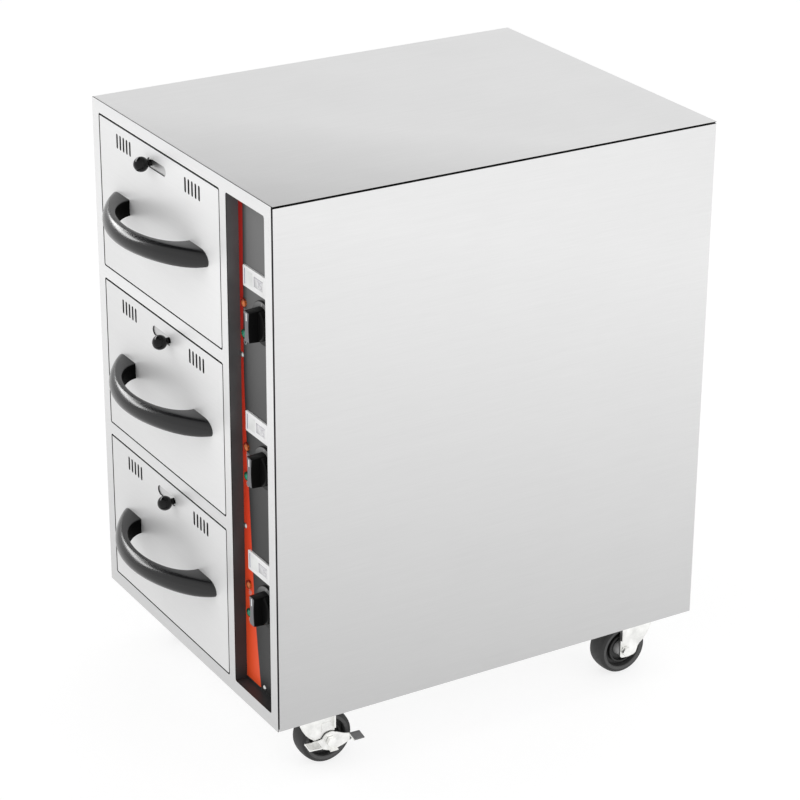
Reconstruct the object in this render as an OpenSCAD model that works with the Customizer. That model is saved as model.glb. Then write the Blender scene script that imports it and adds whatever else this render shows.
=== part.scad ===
// Three-drawer plate warmer cabinet on swivel casters, with a recessed control bay.
// Millimetres, +Z up, +X right seen from the front, the drawers open towards -Y.
// The origin is on the floor, under the middle of the whole object's box.

/* [Pans] */
// Length of a food pan over its rim, front to back
pan_l = 530; // [480:5:560]
// Width of a food pan over its rim
pan_w = 325; // [300:1:345]
// Depth of a food pan
pan_h = 150; // [100:5:165]
// Sheet thickness of a food pan
pan_t = 1.2; // [0.8:0.1:2]
// Width of the flat rim round a pan
pan_rim = 11; // [9:0.5:14]
// How far each pan wall leans in from rim to bottom
pan_taper = 9; // [4:1:14]
// Corner radius of a pan at the rim
pan_corner = 24; // [16:1:32]
// Radius between a pan's walls and its bottom
pan_bottom_r = 14; // [6:1:18]

/* [Cabinet] */
// Outer sheet thickness
sheet = 1.2; // [0.8:0.1:2]
// Inner liner sheet thickness
liner_t = 1; // [0.6:0.1:1.5]
// Width of the left stile of the face frame
stile_l = 20; // [16:1:30]
// Width of the mullion between drawers and control bay
mullion = 17; // [15:1:30]
// Width of the right stile of the face frame
stile_r = 18; // [14:1:30]
// Clear width of the control bay
bay_w = 104; // [96:1:130]
// Height of the top rail of the face frame
rail_top = 17.5; // [17:0.5:30]
// Height of each rail between two drawers
rail_mid = 18; // [15:0.5:30]
// Height of the bottom rail of the face frame
rail_bottom = 20; // [18:0.5:40]
// Height that a drawer opening has over its pan's depth
head_room = 75.5; // [70:0.5:95]
// Space between the pan and the cabinet's back, for the drawer ends and wiring
rear_room = 131; // [120:1:180]
// Open seam between the face frame and the side panels
side_seam = 1.5; // [0.6:0.1:2.5]
// Open seam between the side panels and the top
top_seam = 2; // [0.6:0.1:3]
// Depth of the folded edges of the outer sheets
fold = 14; // [10:1:20]
// Corner radius of the openings in the face frame
opening_r = 3.5; // [1:0.5:8]
// Depth of the folded returns round the drawer openings
return_d = 16; // [10:1:18]

/* [Drawers] */
// Gap between a drawer front and the face frame
drawer_gap = 2.25; // [1:0.25:3]
// Depth of the hollow drawer front
front_t = 22; // [20:1:30]
// Full opening travel of a drawer
drawer_travel = 480; // [300:10:480]
// Thickness of a telescopic slide, wall to drawer
slide_t = 12.7; // [12:0.1:14]
// Height of a telescopic slide
slide_h = 45; // [42:1:50]
// Height of the drawer frame's side rails
rail_h = 64; // [60:1:80]
// Height of the pan's seat above the bottom of the opening, over the pan's own depth
seat_room = 22; // [20:1:28]
// Sheet thickness of the drawer frame
frame_t = 1.5; // [1:0.1:2.5]

/* [Vents] */
// Width of a vent slot
vent_w = 3.2; // [2:0.1:4]
// Height of a vent slot
vent_h = 19.5; // [12:0.5:24]
// Distance from the drawer's top edge to the middle of the vents
vent_drop = 23; // [20:0.5:26]
// Distance from one vent slot to the next
vent_pitch = 10; // [9:0.5:12]
// Slots in each of the two groups
vent_count = 5; // [3:1:6]
// Distance of each group's middle from the drawer's middle
vent_group_x = 103; // [90:1:115]
// Travel of the vent shutter, a whole number of pitches
shutter_steps = 4; // [2:1:4]
// Diameter of the ball on the shutter knob
ball_d = 21; // [16:0.5:26]
// Diameter of the shutter knob's stem
stem_d = 9; // [6:0.5:12]

/* [Handles] */
// Width of a handle over its feet
handle_w = 292; // [240:2:310]
// Height of a handle
handle_h = 28; // [20:1:36]
// Reach of the handle's bow in front of the drawer
handle_reach = 65; // [55:1:80]
// Width between the handle's feet
grip_w = 180; // [150:2:200]
// Clear depth between the bow and the drawer front
grip_d = 48; // [38:1:52]
// Distance from the drawer's top edge to the handle's flat top
handle_drop = 98; // [80:1:120]

/* [Controls] */
// Depth of the control bay, face frame to fascia
bay_depth = 18; // [14:1:30]
// Thickness of the fascia plate
fascia_t = 1.5; // [1:0.1:3]
// Distance from one set of controls to the next
control_pitch = 205.5; // [180:0.5:230]
// Distance from the body's bottom to the lowest thermometer
control_z = 211; // [190:1:230]
// Width of a thermometer bezel
meter_w = 74; // [60:1:84]
// Height of a thermometer bezel
meter_h = 29; // [24:1:34]
// Diameter of a pilot lamp's lens
lamp_d = 12; // [8:0.5:14]
// Diameter of a knob's flat dial skirt
knob_d = 60; // [50:1:66]
// Diameter of a knob's round body
knob_body_d = 44; // [36:1:46]
// Height of a knob
knob_h = 25; // [18:1:32]
// Diameter of a thermostat shaft
shaft_d = 6; // [5:0.1:8]
// Distance of a knob's axis from the bay's left wall
knob_x = 67; // [60:1:70]

/* [Heating] */
// Diameter of a tubular heating element
element_d = 8; // [6:0.5:10]
// Bend radius of a heating element's loop
element_r = 80; // [50:1:110]

/* [Casters] */
// Wheel diameter
wheel_d = 80; // [70:1:90]
// Gap between a wheel and the kingpin's head over it
wheel_gap = 2.5; // [1.5:0.5:12]
// Width of the tread
wheel_w = 32; // [24:1:36]
// Distance from the swivel axis back to the wheel's axle
trail = 32; // [24:1:36]
// Distance of the swivel axes from the cabinet's sides
caster_x = 59; // [52:1:80]
// Distance of the front swivel axes from the cabinet's front
caster_front_y = 68; // [56:1:90]
// Distance of the rear swivel axes from the cabinet's back
caster_rear_y = 54; // [46:1:80]
// Width of a caster's mounting plate
plate_w = 80; // [76:1:90]
// Length of a caster's mounting plate
plate_l = 68; // [66:1:76]
// Diameter of a caster's axle bolt
axle_d = 8; // [6:0.5:10]
// Diameter of a caster's kingpin
kingpin_d = 10; // [8:0.5:14]

/* [Hidden] */
$fn = 32;

// Overlap that a cutting solid has past the face it opens
cut = 1;
// Clearance between sheets that lie beside each other
lay = 0.3;

// Casters: the stack of plate, races, crown and kingpin head over the wheel sets the height
plate_t = 3;
race_t = 4;
race_r = 23;
race_gap = 0.5;
crown_t = 2.5;
head_t = 3;
crown_z = -(plate_t + 2 * race_t + race_gap);
head_z = crown_z - crown_t - race_gap - head_t;
caster_h = wheel_d + wheel_gap - head_z;

// Drawers and openings
frame_side = 6.5;
frame_w = pan_w + 2 * frame_side;
opening_w = frame_w + 2 * (slide_t - sheet);
opening_h = pan_h + head_room;
body_w = stile_l + opening_w + mullion + bay_w + stile_r;
body_h = rail_top + 3 * opening_h + 2 * rail_mid + rail_bottom;
body_d = pan_l + front_t + rear_room + 2;
left_x = -body_w / 2;
right_x = body_w / 2;
opening_x0 = left_x + stile_l;
opening_x1 = opening_x0 + opening_w;
drawer_x = (opening_x0 + opening_x1) / 2;
bay_x0 = opening_x1 + mullion;
bay_x1 = bay_x0 + bay_w;
bay_z0 = caster_h + rail_bottom;
bay_z1 = caster_h + body_h - rail_top;
body_z0 = caster_h;
body_z1 = caster_h + body_h;
function opening_z(i) = body_z1 - rail_top - opening_h - (i - 1) * (opening_h + rail_mid);
face_w = opening_w - 2 * drawer_gap;
face_h = opening_h - 2 * drawer_gap;
function face_top(i) = opening_z(i) + opening_h - drawer_gap;
seat_z = pan_h + seat_room;

// The gland reaches furthest back and the handles furthest forward
gland_out = 12;
origin_y = (handle_reach - body_d - gland_out) / 2;

// Inner liner and slides
liner_y0 = return_d + lay;
liner_y1 = front_t + pan_l + 40;
wall_l = opening_x0 - sheet;
wall_r = opening_x1 + sheet;
liner_z0 = opening_z(3) - sheet;
liner_z1 = body_z1 - rail_top + sheet;
slide_y0 = front_t + 8;
slide_l = min(drawer_travel + 70, liner_y1 - liner_t - 10 - slide_y0);
slide_mid_z = seat_z - rail_h / 2;
slide_play = 0.6;
slide_web = 1.5;

// Drawer frame and pan
back_plate_t = 1.2;
frame_y0 = front_t + back_plate_t;
frame_y1 = frame_y0 + pan_l + 12;
pan_y0 = frame_y0 + 6;
rim_t = 2.2;
pan_clear = 2;
pan_body_w = pan_w - 2 * pan_rim;
pan_body_l = pan_l - 2 * pan_rim;

// Vents
shutter_travel = shutter_steps * vent_pitch;
shutter_t = 1;
shutter_rest = [-22, 18, 18];
knob_slot_x = -2;
knob_slot_h = stem_d + 5;
knob_slot_w = shutter_travel + stem_d + 7;
shutter_h = vent_h + 7;
stem_reach = 13;

// Controls
control_x = (bay_x0 + bay_x1) / 2;
recess_y = bay_depth + fascia_t;
meter_t = 2.5;
meter_body_l = 14;
window_w = 24;
window_h = 14;
window_x = 4.5;
meter_body_w = meter_w - 12;
meter_body_h = meter_h - 5;
lamp_x = bay_x0 + 13;
lamp_body_d = lamp_d - 2;
lamp_body_l = 18;
lens_t = 4;
heat_lamp_drop = 40;
power_lamp_drop = 83;
knob_drop = 50;
knob_axis_x = bay_x0 + knob_x;
function meter_z(i) = body_z0 + control_z + (3 - i) * control_pitch;
thermostat_w = 40;
thermostat_t = 30;
bulb_d = 6;
bulb_l = 80;
bulb_room = 6;
shaft_out = 10;
capillary_d = 2.4;
bulb_z = 60;
capillary_y = 120;

// Heating
element_lift = 3;
function element_z(i) = opening_z(i) - lay + element_lift + element_d / 2;
element_y0 = front_t + 30;
element_bend_y = element_y0 + element_r + element_d / 2;
clip_w = 16;
clip_l = 10;
clip_y = [element_bend_y + 36, liner_y1 - 140];

// Fasteners
screw_head_d = 8;
screw_head_t = 2.2;
screw_shank_d = 3.6;
screw_l = 8;

// Casters
wheel_r = wheel_d / 2;
axle_drop = caster_h - wheel_r;
leg_x = wheel_w / 2 + 3;
leg_t = 2.5;
lever_x = leg_x + leg_t + 1.5;
lever_t = 2;
bolt_x = plate_w / 2 - 10;
bolt_y = plate_l / 2 - 10;
bolt_d = 8;
bolt_head_t = 4.5;
bolt_nut_t = 6;
bolt_out = 8;

// Solids that several parts share

module whole() { translate([0, origin_y, 0]) children(); }

// A box from its lowest to its highest corner
module block(a, b) { translate(a) cube([b[0] - a[0], b[1] - a[1], b[2] - a[2]]); }

// A flat outline with four round corners, from one corner to the other
module round_rect(a, b, r) {
  w = b[0] - a[0];
  h = b[1] - a[1];
  translate(a) {
    translate([r, 0]) square([w - 2 * r, h]);
    translate([0, r]) square([w, h - 2 * r]);
    for (x = [r, w - r], y = [r, h - r]) translate([x, y]) circle(r);
  }
}

// An outline drawn as x and z, given a thickness from y0 to y1
module upright(y0, y1) {
  translate([0, y1, 0]) rotate([90, 0, 0]) linear_extrude(y1 - y0) children();
}

// A round bar along Y
module bar_y(x, z, y0, y1, d) {
  translate([x, y1, z]) rotate([90, 0, 0]) cylinder(d = d, h = y1 - y0);
}

// A round bar along X
module bar_x(y, z, x0, x1, d) {
  translate([x0, y, z]) rotate([0, 90, 0]) cylinder(d = d, h = x1 - x0);
}

// A slot with round ends, upright, centred at x and z
module slot_outline(x, z, w, h) {
  translate([x, z]) {
    square([w, h - w], center = true);
    for (s = [-1, 1]) translate([0, s * (h - w) / 2]) circle(w / 2);
  }
}

// A slot with round ends, lying flat, centred at x and z
module flat_slot_outline(x, z, w, h) {
  translate([x, z]) {
    square([w - h, h], center = true);
    for (s = [-1, 1]) translate([s * (w - h) / 2, 0]) circle(h / 2);
  }
}

// Body panels

module top_panel() color("gainsboro") whole() {
  block([left_x, sheet + 0.6, body_z1 - sheet], [right_x, body_d, body_z1]);
  inset = sheet + lay;
  for (x = [left_x + inset, right_x - inset - sheet])
    block([x, sheet + side_seam + fold, body_z1 - fold], [x + sheet, body_d - fold, body_z1 - sheet]);
}

module side_sheet(x0, sx) {
  y0 = sheet + side_seam;
  z1 = body_z1 - sheet - top_seam;
  module at_x(a, b, lo, hi) {
    xa = x0 + sx * a;
    xb = x0 + sx * b;
    block([min(xa, xb), lo[0], lo[1]], [max(xa, xb), hi[0], hi[1]]);
  }
  at_x(0, sheet, [y0, body_z0], [body_d, z1]);
  at_x(sheet, fold, [y0, body_z0 + fold + 4], [y0 + sheet, z1 - fold]);
  difference() {
    at_x(sheet, fold, [body_d - 2 * sheet - lay, body_z0 + fold + 4], [body_d - sheet - lay, z1 - fold]);
    for (p = back_screw_places())
      bar_y(p[0], p[1], body_d - 2 * sheet - lay - cut, body_d, screw_shank_d + 0.4);
  }
}

module left_side_panel() color("silver") whole() side_sheet(left_x, 1);
module right_side_panel() color("silver") whole() side_sheet(right_x, -1);

louvre_rows = 9;
louvre_w = 64;
louvre_h = 3.4;

module back_panel() color("silver") whole() difference() {
  block([left_x + sheet + lay, body_d - sheet, body_z0 + sheet + lay],
        [right_x - sheet - lay, body_d, body_z1 - sheet - lay]);
  upright(body_d - sheet - cut, body_d + cut) {
    for (k = [0:louvre_rows - 1])
      flat_slot_outline(control_x, body_z0 + 200 + k * 12, louvre_w, louvre_h);
    for (k = [0:louvre_rows - 1])
      flat_slot_outline(control_x, body_z1 - 60 - k * 12, louvre_w, louvre_h);
    translate([control_x, gland_z]) circle(gland_d / 2 + lay);
  }
  for (p = back_screw_places())
    bar_y(p[0], p[1], body_d - sheet - cut, body_d + cut, screw_shank_d + 0.4);
}

function back_screw_places() = [
  for (x = [left_x + fold / 2 + 1.5, right_x - fold / 2 - 1.5], k = [0:3])
    [x, body_z0 + 40 + k * (body_h - 80) / 3]
];

module base_pan() color("silver") whole() difference() {
  union() {
    block([left_x + sheet + lay, sheet + side_seam + sheet + lay, body_z0],
          [right_x - sheet - lay, body_d - 2 * sheet - 2 * lay, body_z0 + sheet]);
    for (x = [left_x + sheet + lay, right_x - 2 * sheet - lay])
      block([x, sheet + side_seam + sheet + lay, body_z0 + sheet],
            [x + sheet, body_d - 2 * sheet - 2 * lay, body_z0 + fold]);
  }
  for (c = caster_places(), p = plate_bolt_places())
    translate([c[0] + p[0], c[1] + p[1], body_z0 - cut]) cylinder(d = bolt_d + 0.6, h = sheet + 2 * cut);
}

module face_openings() {
  for (i = [1:3]) round_rect([opening_x0, opening_z(i)], [opening_x1, opening_z(i) + opening_h], opening_r);
  round_rect([bay_x0, bay_z0], [bay_x1, bay_z1], opening_r);
}

module front_frame() color("whitesmoke") whole() {
  difference() {
    upright(0, sheet) translate([left_x, body_z0]) square([body_w, body_h]);
    upright(-cut, sheet + cut) face_openings();
  }
  for (i = [1:3]) difference() {
    upright(sheet, return_d)
      round_rect([opening_x0 - sheet, opening_z(i) - sheet],
                 [opening_x1 + sheet, opening_z(i) + opening_h + sheet], opening_r + sheet);
    upright(0, return_d + cut)
      round_rect([opening_x0, opening_z(i)], [opening_x1, opening_z(i) + opening_h], opening_r);
  }
}

// Heated compartment

module inner_liner() color("lightgray") whole() difference() {
  block([wall_l - liner_t, liner_y0, liner_z0], [wall_r + liner_t, liner_y1, liner_z1]);
  block([wall_l, liner_y0 - cut, liner_z0 - cut], [wall_r, liner_y1 - liner_t, liner_z1 - liner_t]);
  for (i = [1:3]) {
    for (s = [-1, 1])
      bar_y(drawer_x + s * element_r, element_z(i), liner_y1 - 2 * liner_t, liner_y1 + cut, element_d + 1);
    bar_x(capillary_y, opening_z(i) + bulb_z, wall_r - cut, wall_r + liner_t + cut, capillary_d + 1);
  }
}

module heater_shelves() color("lightgray") whole() for (i = [1:3]) {
  z = opening_z(i) - lay;
  block([wall_l + lay, liner_y0, z - liner_t], [wall_r - lay, liner_y1 - liner_t - lay, z]);
  for (s = [-1, 1], y = clip_y)
    block([drawer_x + s * element_r - clip_w / 2, y, z],
          [drawer_x + s * element_r + clip_w / 2, y + clip_l, z + element_lift - lay]);
}

module heating_elements() color("dimgray") whole() for (i = [1:3]) {
  translate([drawer_x, element_bend_y, element_z(i)])
    rotate([0, 0, 180]) rotate_extrude(angle = 180, $fn = 64)
      translate([element_r, 0]) circle(d = element_d, $fn = 24);
  for (s = [-1, 1])
    bar_y(drawer_x + s * element_r, element_z(i), element_bend_y, liner_y1 + 22, element_d);
}

// Mineral wool blankets between the liner and the outer shell
module insulation() color("khaki") whole() {
  y0 = liner_y0 + 10;
  y1 = liner_y1;
  block([left_x + sheet + lay, y0, body_z0 + fold + 8], [wall_l - liner_t - lay, y1, body_z1 - fold - lay]);
  block([wall_r + liner_t + lay, y0, liner_z0 + 5], [bay_x0 - sheet - lay, capillary_y - 6, liner_z1]);
  block([wall_r + liner_t + lay, capillary_y + 6, liner_z0 + 5], [bay_x0 - sheet - lay, y1, liner_z1]);
  block([wall_l, y0, liner_z1 + lay], [wall_r, y1, body_z1 - sheet - lay]);
  difference() {
    block([wall_l, liner_y1 + lay, liner_z0], [wall_r, liner_y1 + 20, liner_z1]);
    for (i = [1:3], s = [-1, 1])
      bar_y(drawer_x + s * element_r, element_z(i), liner_y1, liner_y1 + 20 + cut, element_d + 1);
  }
}

// Control bay

module control_cutouts(extra) {
  for (i = [1:3]) {
    z = meter_z(i);
    translate([control_x, z]) square([meter_body_w + 2 * extra, meter_body_h + 2 * extra], center = true);
    for (d = [heat_lamp_drop, power_lamp_drop])
      translate([lamp_x, z - d]) circle(d = lamp_body_d + 2 * extra);
    translate([knob_axis_x, z - knob_drop]) circle(d = shaft_d + 4);
  }
}

module control_recess() color("gray") whole() {
  difference() {
    block([bay_x0 - sheet, sheet, bay_z0 - sheet], [bay_x1 + sheet, recess_y + sheet, bay_z1 + sheet]);
    block([bay_x0, sheet - cut, bay_z0], [bay_x1, recess_y, bay_z1]);
    upright(recess_y - cut, recess_y + sheet + cut) control_cutouts(0.3);
    for (p = fascia_screw_places())
      bar_y(p[0], p[1], recess_y - cut, recess_y + sheet + cut, screw_shank_d + 0.4);
  }
}

fascia_foot = 4;
fascia_screw_x = 4.5;
fascia_screw_z = [256, 506];

module control_fascia() color("dimgray") whole() difference() {
  block([bay_x0 + lay, bay_depth, bay_z0 + fascia_foot], [bay_x1 - lay, recess_y, bay_z1 - lay]);
  upright(bay_depth - cut, recess_y + cut) control_cutouts(0.3);
  for (p = fascia_screw_places())
    bar_y(p[0], p[1], bay_depth - cut, recess_y + cut, screw_shank_d + 0.4);
}

function fascia_screw_places() = concat(
  [for (x = [bay_x0 + fascia_screw_x, bay_x1 - fascia_screw_x], z = fascia_screw_z) [x, body_z0 + z]],
  [[control_x, bay_z0 + fascia_foot + 5], [control_x, bay_z1 - 10]]
);

module thermometers() color("white") whole() for (i = [1:3]) {
  z = meter_z(i);
  difference() {
    upright(bay_depth - meter_t, bay_depth)
      round_rect([control_x - meter_w / 2, z - meter_h / 2], [control_x + meter_w / 2, z + meter_h / 2], 2);
    block([control_x + window_x - window_w / 2, bay_depth - meter_t - cut, z - window_h / 2],
          [control_x + window_x + window_w / 2, bay_depth - meter_t + 0.6, z + window_h / 2]);
  }
  block([control_x - meter_body_w / 2, bay_depth, z - meter_body_h / 2],
        [control_x + meter_body_w / 2, recess_y + meter_body_l, z + meter_body_h / 2]);
}

module pilot_lamp(x, z) {
  translate([x, bay_depth, z]) rotate([90, 0, 0]) rotate_extrude() {
    intersection() {
      union() {
        square([lamp_d / 2, lens_t - 1.5]);
        translate([0, lens_t - lamp_d]) circle(lamp_d, $fn = 48);
      }
      square([lamp_d / 2, lens_t]);
    }
    translate([0, -fascia_t - lamp_body_l]) square([lamp_body_d / 2, fascia_t + lamp_body_l]);
  }
}

module heat_lamps() color("orange") whole()
  for (i = [1:3]) pilot_lamp(lamp_x, meter_z(i) - heat_lamp_drop);
module power_lamps() color("seagreen") whole()
  for (i = [1:3]) pilot_lamp(lamp_x, meter_z(i) - power_lamp_drop);

// Capillary thermostats: body, shaft, thin tube and bulb
module thermostats() color("lightsteelblue") whole() for (i = [1:3]) {
  z = meter_z(i) - knob_drop;
  y0 = recess_y + sheet;
  bulb_x = wall_r - bulb_room;
  block([knob_axis_x - thermostat_w / 2, y0, z - thermostat_w / 2],
        [min(knob_axis_x + thermostat_w / 2, right_x - 6), y0 + thermostat_t, z + thermostat_w / 2]);
  bar_y(knob_axis_x, z, bay_depth - shaft_out, y0 + 1, shaft_d);
  bar_y(knob_axis_x, z, y0 + thermostat_t - 1, capillary_y + capillary_d / 2, capillary_d);
  zb = opening_z(i) + bulb_z;
  translate([knob_axis_x, capillary_y, min(z, zb) - capillary_d / 2])
    cylinder(d = capillary_d, h = abs(z - zb) + capillary_d);
  bar_x(capillary_y, zb, bulb_x, knob_axis_x, capillary_d);
  bar_y(bulb_x, zb, capillary_y - capillary_d / 2, capillary_y + bulb_l, bulb_d);
}

dial_t = 3;
knob_gap = 0.5;
collar_h = 9;
grip_t = 14;
grip_pinch = 1.6;
pinch_r = 110;
blind = 9;

// Flat dial skirt, round body and a grip pinched in at its middle, in one moulding
module control_knob(i) {
  collar_r = knob_body_d / 2;
  grip_l = knob_body_d + 2;
  translate([knob_axis_x, bay_depth - knob_gap, meter_z(i) - knob_drop]) rotate([90, 0, 0]) difference() {
    union() {
      rotate_extrude($fn = 64) polygon([
        [0, 0], [knob_d / 2, 0], [knob_d / 2, dial_t - 0.8], [knob_d / 2 - 0.8, dial_t],
        [collar_r, dial_t], [collar_r, dial_t + collar_h - 1.5], [collar_r - 1.5, dial_t + collar_h],
        [0, dial_t + collar_h]
      ]);
      translate([0, 0, dial_t]) intersection() {
        difference() {
          translate([-grip_t / 2, -grip_l / 2, 0]) cube([grip_t, grip_l, knob_h - dial_t]);
          for (side = [-1, 1]) translate([side * (pinch_r + grip_t / 2 - grip_pinch), 0, -cut])
            cylinder(r = pinch_r, h = knob_h, $fn = 180);
        }
        cylinder(r1 = grip_l / 2, r2 = grip_l / 2 - 1.5, h = knob_h - dial_t, $fn = 64);
      }
    }
    translate([0, 0, -cut]) cylinder(d = shaft_d + 0.1, h = blind + cut + knob_gap + 1);
  }
}

module top_knob() color("#222222") whole() control_knob(1);
module middle_knob() color("#222222") whole() control_knob(2);
module bottom_knob() color("#222222") whole() control_knob(3);

// Slides: outer on the cabinet wall, mid between, inner on the drawer frame

// A channel along Y: web from u0 to u1 from the wall, lips from l0 to l1, half height h
module channel(i, side, web, lips, h, t) {
  z = opening_z(i) + slide_mid_z;
  function ux(u) = side < 0 ? wall_l + u : wall_r - u;
  for (part = [[web[0], web[1], -h, h], [lips[0], lips[1], h - t, h], [lips[0], lips[1], -h, t - h]])
    block([min(ux(part[0]), ux(part[1])), slide_y0, z + part[2]],
          [max(ux(part[0]), ux(part[1])), slide_y0 + slide_l, z + part[3]]);
}

outer_half = slide_h / 2;
mid_half = outer_half - slide_web - slide_play;
inner_half = mid_half - slide_web - slide_play;
mid_web_u = slide_t / 2;

module outer_slides() color("silver") whole() for (i = [1:3], side = [-1, 1])
  channel(i, side, [0, slide_web], [0, slide_t - 3], outer_half, slide_web);

module mid_slides(i) for (side = [-1, 1])
  channel(i, side, [mid_web_u, mid_web_u + slide_web], [slide_web + slide_play, slide_t - 2.2],
          mid_half, slide_web);

module inner_slides(i) for (side = [-1, 1])
  channel(i, side, [slide_t - slide_web, slide_t], [mid_web_u + slide_web + slide_play, slide_t],
          inner_half, slide_web);

// Drawers

module vent_outlines(i, count, w, h) {
  for (g = [-1, 1], k = [0:count - 1])
    slot_outline(drawer_x + g * vent_group_x + (k - (count - 1) / 2) * vent_pitch,
                 face_top(i) - vent_drop, w, h);
}

module drawer_front(i) difference() {
  x0 = drawer_x - face_w / 2;
  x1 = drawer_x + face_w / 2;
  z0 = opening_z(i) + drawer_gap;
  z1 = face_top(i);
  upright(0, front_t) round_rect([x0, z0], [x1, z1], 2.5);
  upright(sheet, front_t + cut) round_rect([x0 + sheet, z0 + sheet], [x1 - sheet, z1 - sheet], 1.3);
  upright(-cut, sheet + cut) {
    vent_outlines(i, vent_count, vent_w, vent_h);
    flat_slot_outline(drawer_x + knob_slot_x, face_top(i) - vent_drop - 1, knob_slot_w, knob_slot_h);
  }
}

// Inner plate, two side rails, a rear rail and the seat flange, welded together
module drawer_frame(i) difference() {
  z = opening_z(i) + seat_z;
  xl = drawer_x - frame_w / 2;
  xr = drawer_x + frame_w / 2;
  union() {
    block([drawer_x - face_w / 2 + 1, front_t, opening_z(i) + drawer_gap + 1],
          [drawer_x + face_w / 2 - 1, frame_y0, face_top(i) - 1]);
    block([xl, frame_y0, z - rail_h], [xr, frame_y1, z]);
  }
  block([xl + frame_t, frame_y0, z - rail_h - cut], [xr - frame_t, frame_y1 - frame_t, z - frame_t]);
  block([drawer_x - pan_body_w / 2 - pan_clear, pan_y0 + pan_rim - pan_clear, z - 2 * frame_t],
        [drawer_x + pan_body_w / 2 + pan_clear, pan_y0 + pan_l - pan_rim + pan_clear, z + cut]);
  for (g = [-1, 1])
    block([drawer_x + g * vent_group_x - 30, front_t - cut, face_top(i) - vent_drop - vent_h / 2],
          [drawer_x + g * vent_group_x + 30, frame_y0 + cut, face_top(i) - vent_drop + vent_h / 2]);
}

// One ring of points round a rectangle with round corners
corner_steps = 5;
function ring(w, l, r, z) = [
  for (c = [[1, 1, 0], [-1, 1, 90], [-1, -1, 180], [1, -1, 270]], k = [0:corner_steps])
    let (a = c[2] + 90 * k / corner_steps)
    [c[0] * (w / 2 - r) + r * cos(a), c[1] * (l / 2 - r) + r * sin(a), z]
];

// A closed solid through rings of equal length, from the first to the last
module lofted(rings) {
  n = len(rings[0]);
  m = len(rings);
  polyhedron(
    points = [for (r = rings, p = r) p],
    faces = concat(
      [[for (k = [0:n - 1]) k]],
      [for (j = [0:m - 2], k = [0:n - 1]) let (a = j * n + k, b = j * n + (k + 1) % n) [a, a + n, b]],
      [for (j = [0:m - 2], k = [0:n - 1]) let (a = j * n + k, b = j * n + (k + 1) % n) [b, a + n, b + n]],
      [[for (k = [n - 1:-1:0]) (m - 1) * n + k]]
    )
  );
}

fillet_steps = 3;
// Rings round the bottom of a pan wall: width and length at the rim, height of the bottom and its radius
function bottom_rings(w, l, r, z0, fr, top) = [
  for (k = [0:fillet_steps])
    let (a = 90 * k / fillet_steps, z = z0 + fr * (1 - cos(a)), lean = pan_taper * (top - z) / pan_h,
         in = lean + fr * (1 - sin(a)))
    ring(w - 2 * in, l - 2 * in, max(r - in / 2, 6), z)
];

module food_pan(i) {
  rim_z = opening_z(i) + seat_z;
  w = pan_body_w;
  l = pan_body_l;
  top = rim_t;
  inner_r = pan_corner - pan_t;
  outside = bottom_rings(w, l, pan_corner, top - pan_h, pan_bottom_r, 0);
  inside = bottom_rings(w - 2 * pan_t, l - 2 * pan_t, inner_r, top - pan_h + pan_t, pan_bottom_r - pan_t, 0);
  translate([drawer_x, pan_y0 + pan_l / 2, rim_z]) lofted(concat(
    outside,
    [ring(w, l, pan_corner, 0)],
    [ring(pan_w, pan_l, pan_corner + pan_rim, 0)],
    [ring(pan_w, pan_l, pan_corner + pan_rim, top)],
    [ring(w - 2 * pan_t, l - 2 * pan_t, inner_r, top)],
    [for (k = [fillet_steps:-1:0]) inside[k]]
  ));
}

// The handle is a bow with a flat top and a full round outside. Each point of its
// section follows its own bow, wider and flatter from the top edge to the middle.
bow_steps = 36;
section_steps = 6;
edge_w = handle_w / 2 - 21;
edge_reach = handle_reach - 13;
edge_r = 1.5;
// The share by which the bow's lower edge rises where it meets the drawer
foot_rise = 0.16;
function bow_drop(th) = 1 - foot_rise * pow(abs(cos(th)), 9);
function bow_point(a, b, q, z, th) = [-a * cos(th), -b * pow(pow(sin(th), 2), 1 / q), z * bow_drop(th)];
function outer_section(th) = [
  for (k = [0:section_steps])
    let (f = 90 - 180 * k / section_steps, s = cos(f))
    bow_point(edge_w + (1 - sin(f)) * 3 + 18 * s, edge_reach + 13 * s, 1.28 - 0.23 * s,
              handle_h / 2 * (sin(f) - 1), th)
];
function inner_section(th) = [
  bow_point(grip_w / 2 + edge_r, grip_d + edge_r, 2, -handle_h, th),
  bow_point(grip_w / 2, grip_d, 2, -handle_h + edge_r, th),
  bow_point(grip_w / 2, grip_d, 2, -edge_r, th),
  bow_point(grip_w / 2 + edge_r, grip_d + edge_r, 2, 0, th)
];

module drawer_handle(i)
  translate([drawer_x, 0, face_top(i) - handle_drop])
    lofted([
      for (k = [0:bow_steps]) let (th = 180 * k / bow_steps) concat(outer_section(th), inner_section(th))
    ]);

// A steel strip that slides behind the vents, with windows at the same pitch
module vent_shutter(i) difference() {
  y0 = sheet + lay;
  z = face_top(i) - vent_drop;
  half = face_w / 2 - shutter_travel / 2 - 8;
  block([drawer_x + rest_shift(i) - half, y0, z - shutter_h / 2],
        [drawer_x + rest_shift(i) + half, y0 + shutter_t, z + shutter_h / 2]);
  upright(y0 - cut, y0 + shutter_t + cut) translate([rest_shift(i), 0])
    vent_outlines(i, vent_count + shutter_steps, vent_w + 0.8, vent_h + 0.8);
  bar_y(drawer_x + shutter_rest[i - 1], z - 1, y0 - cut, y0 + shutter_t + cut, stem_d - 2);
}

// Where the shutter's middle stands at rest: half a travel left or right of the drawer's middle
function rest_shift(i) = (shutter_rest[i - 1] < 0 ? -1 : 1) * shutter_travel / 2;

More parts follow.
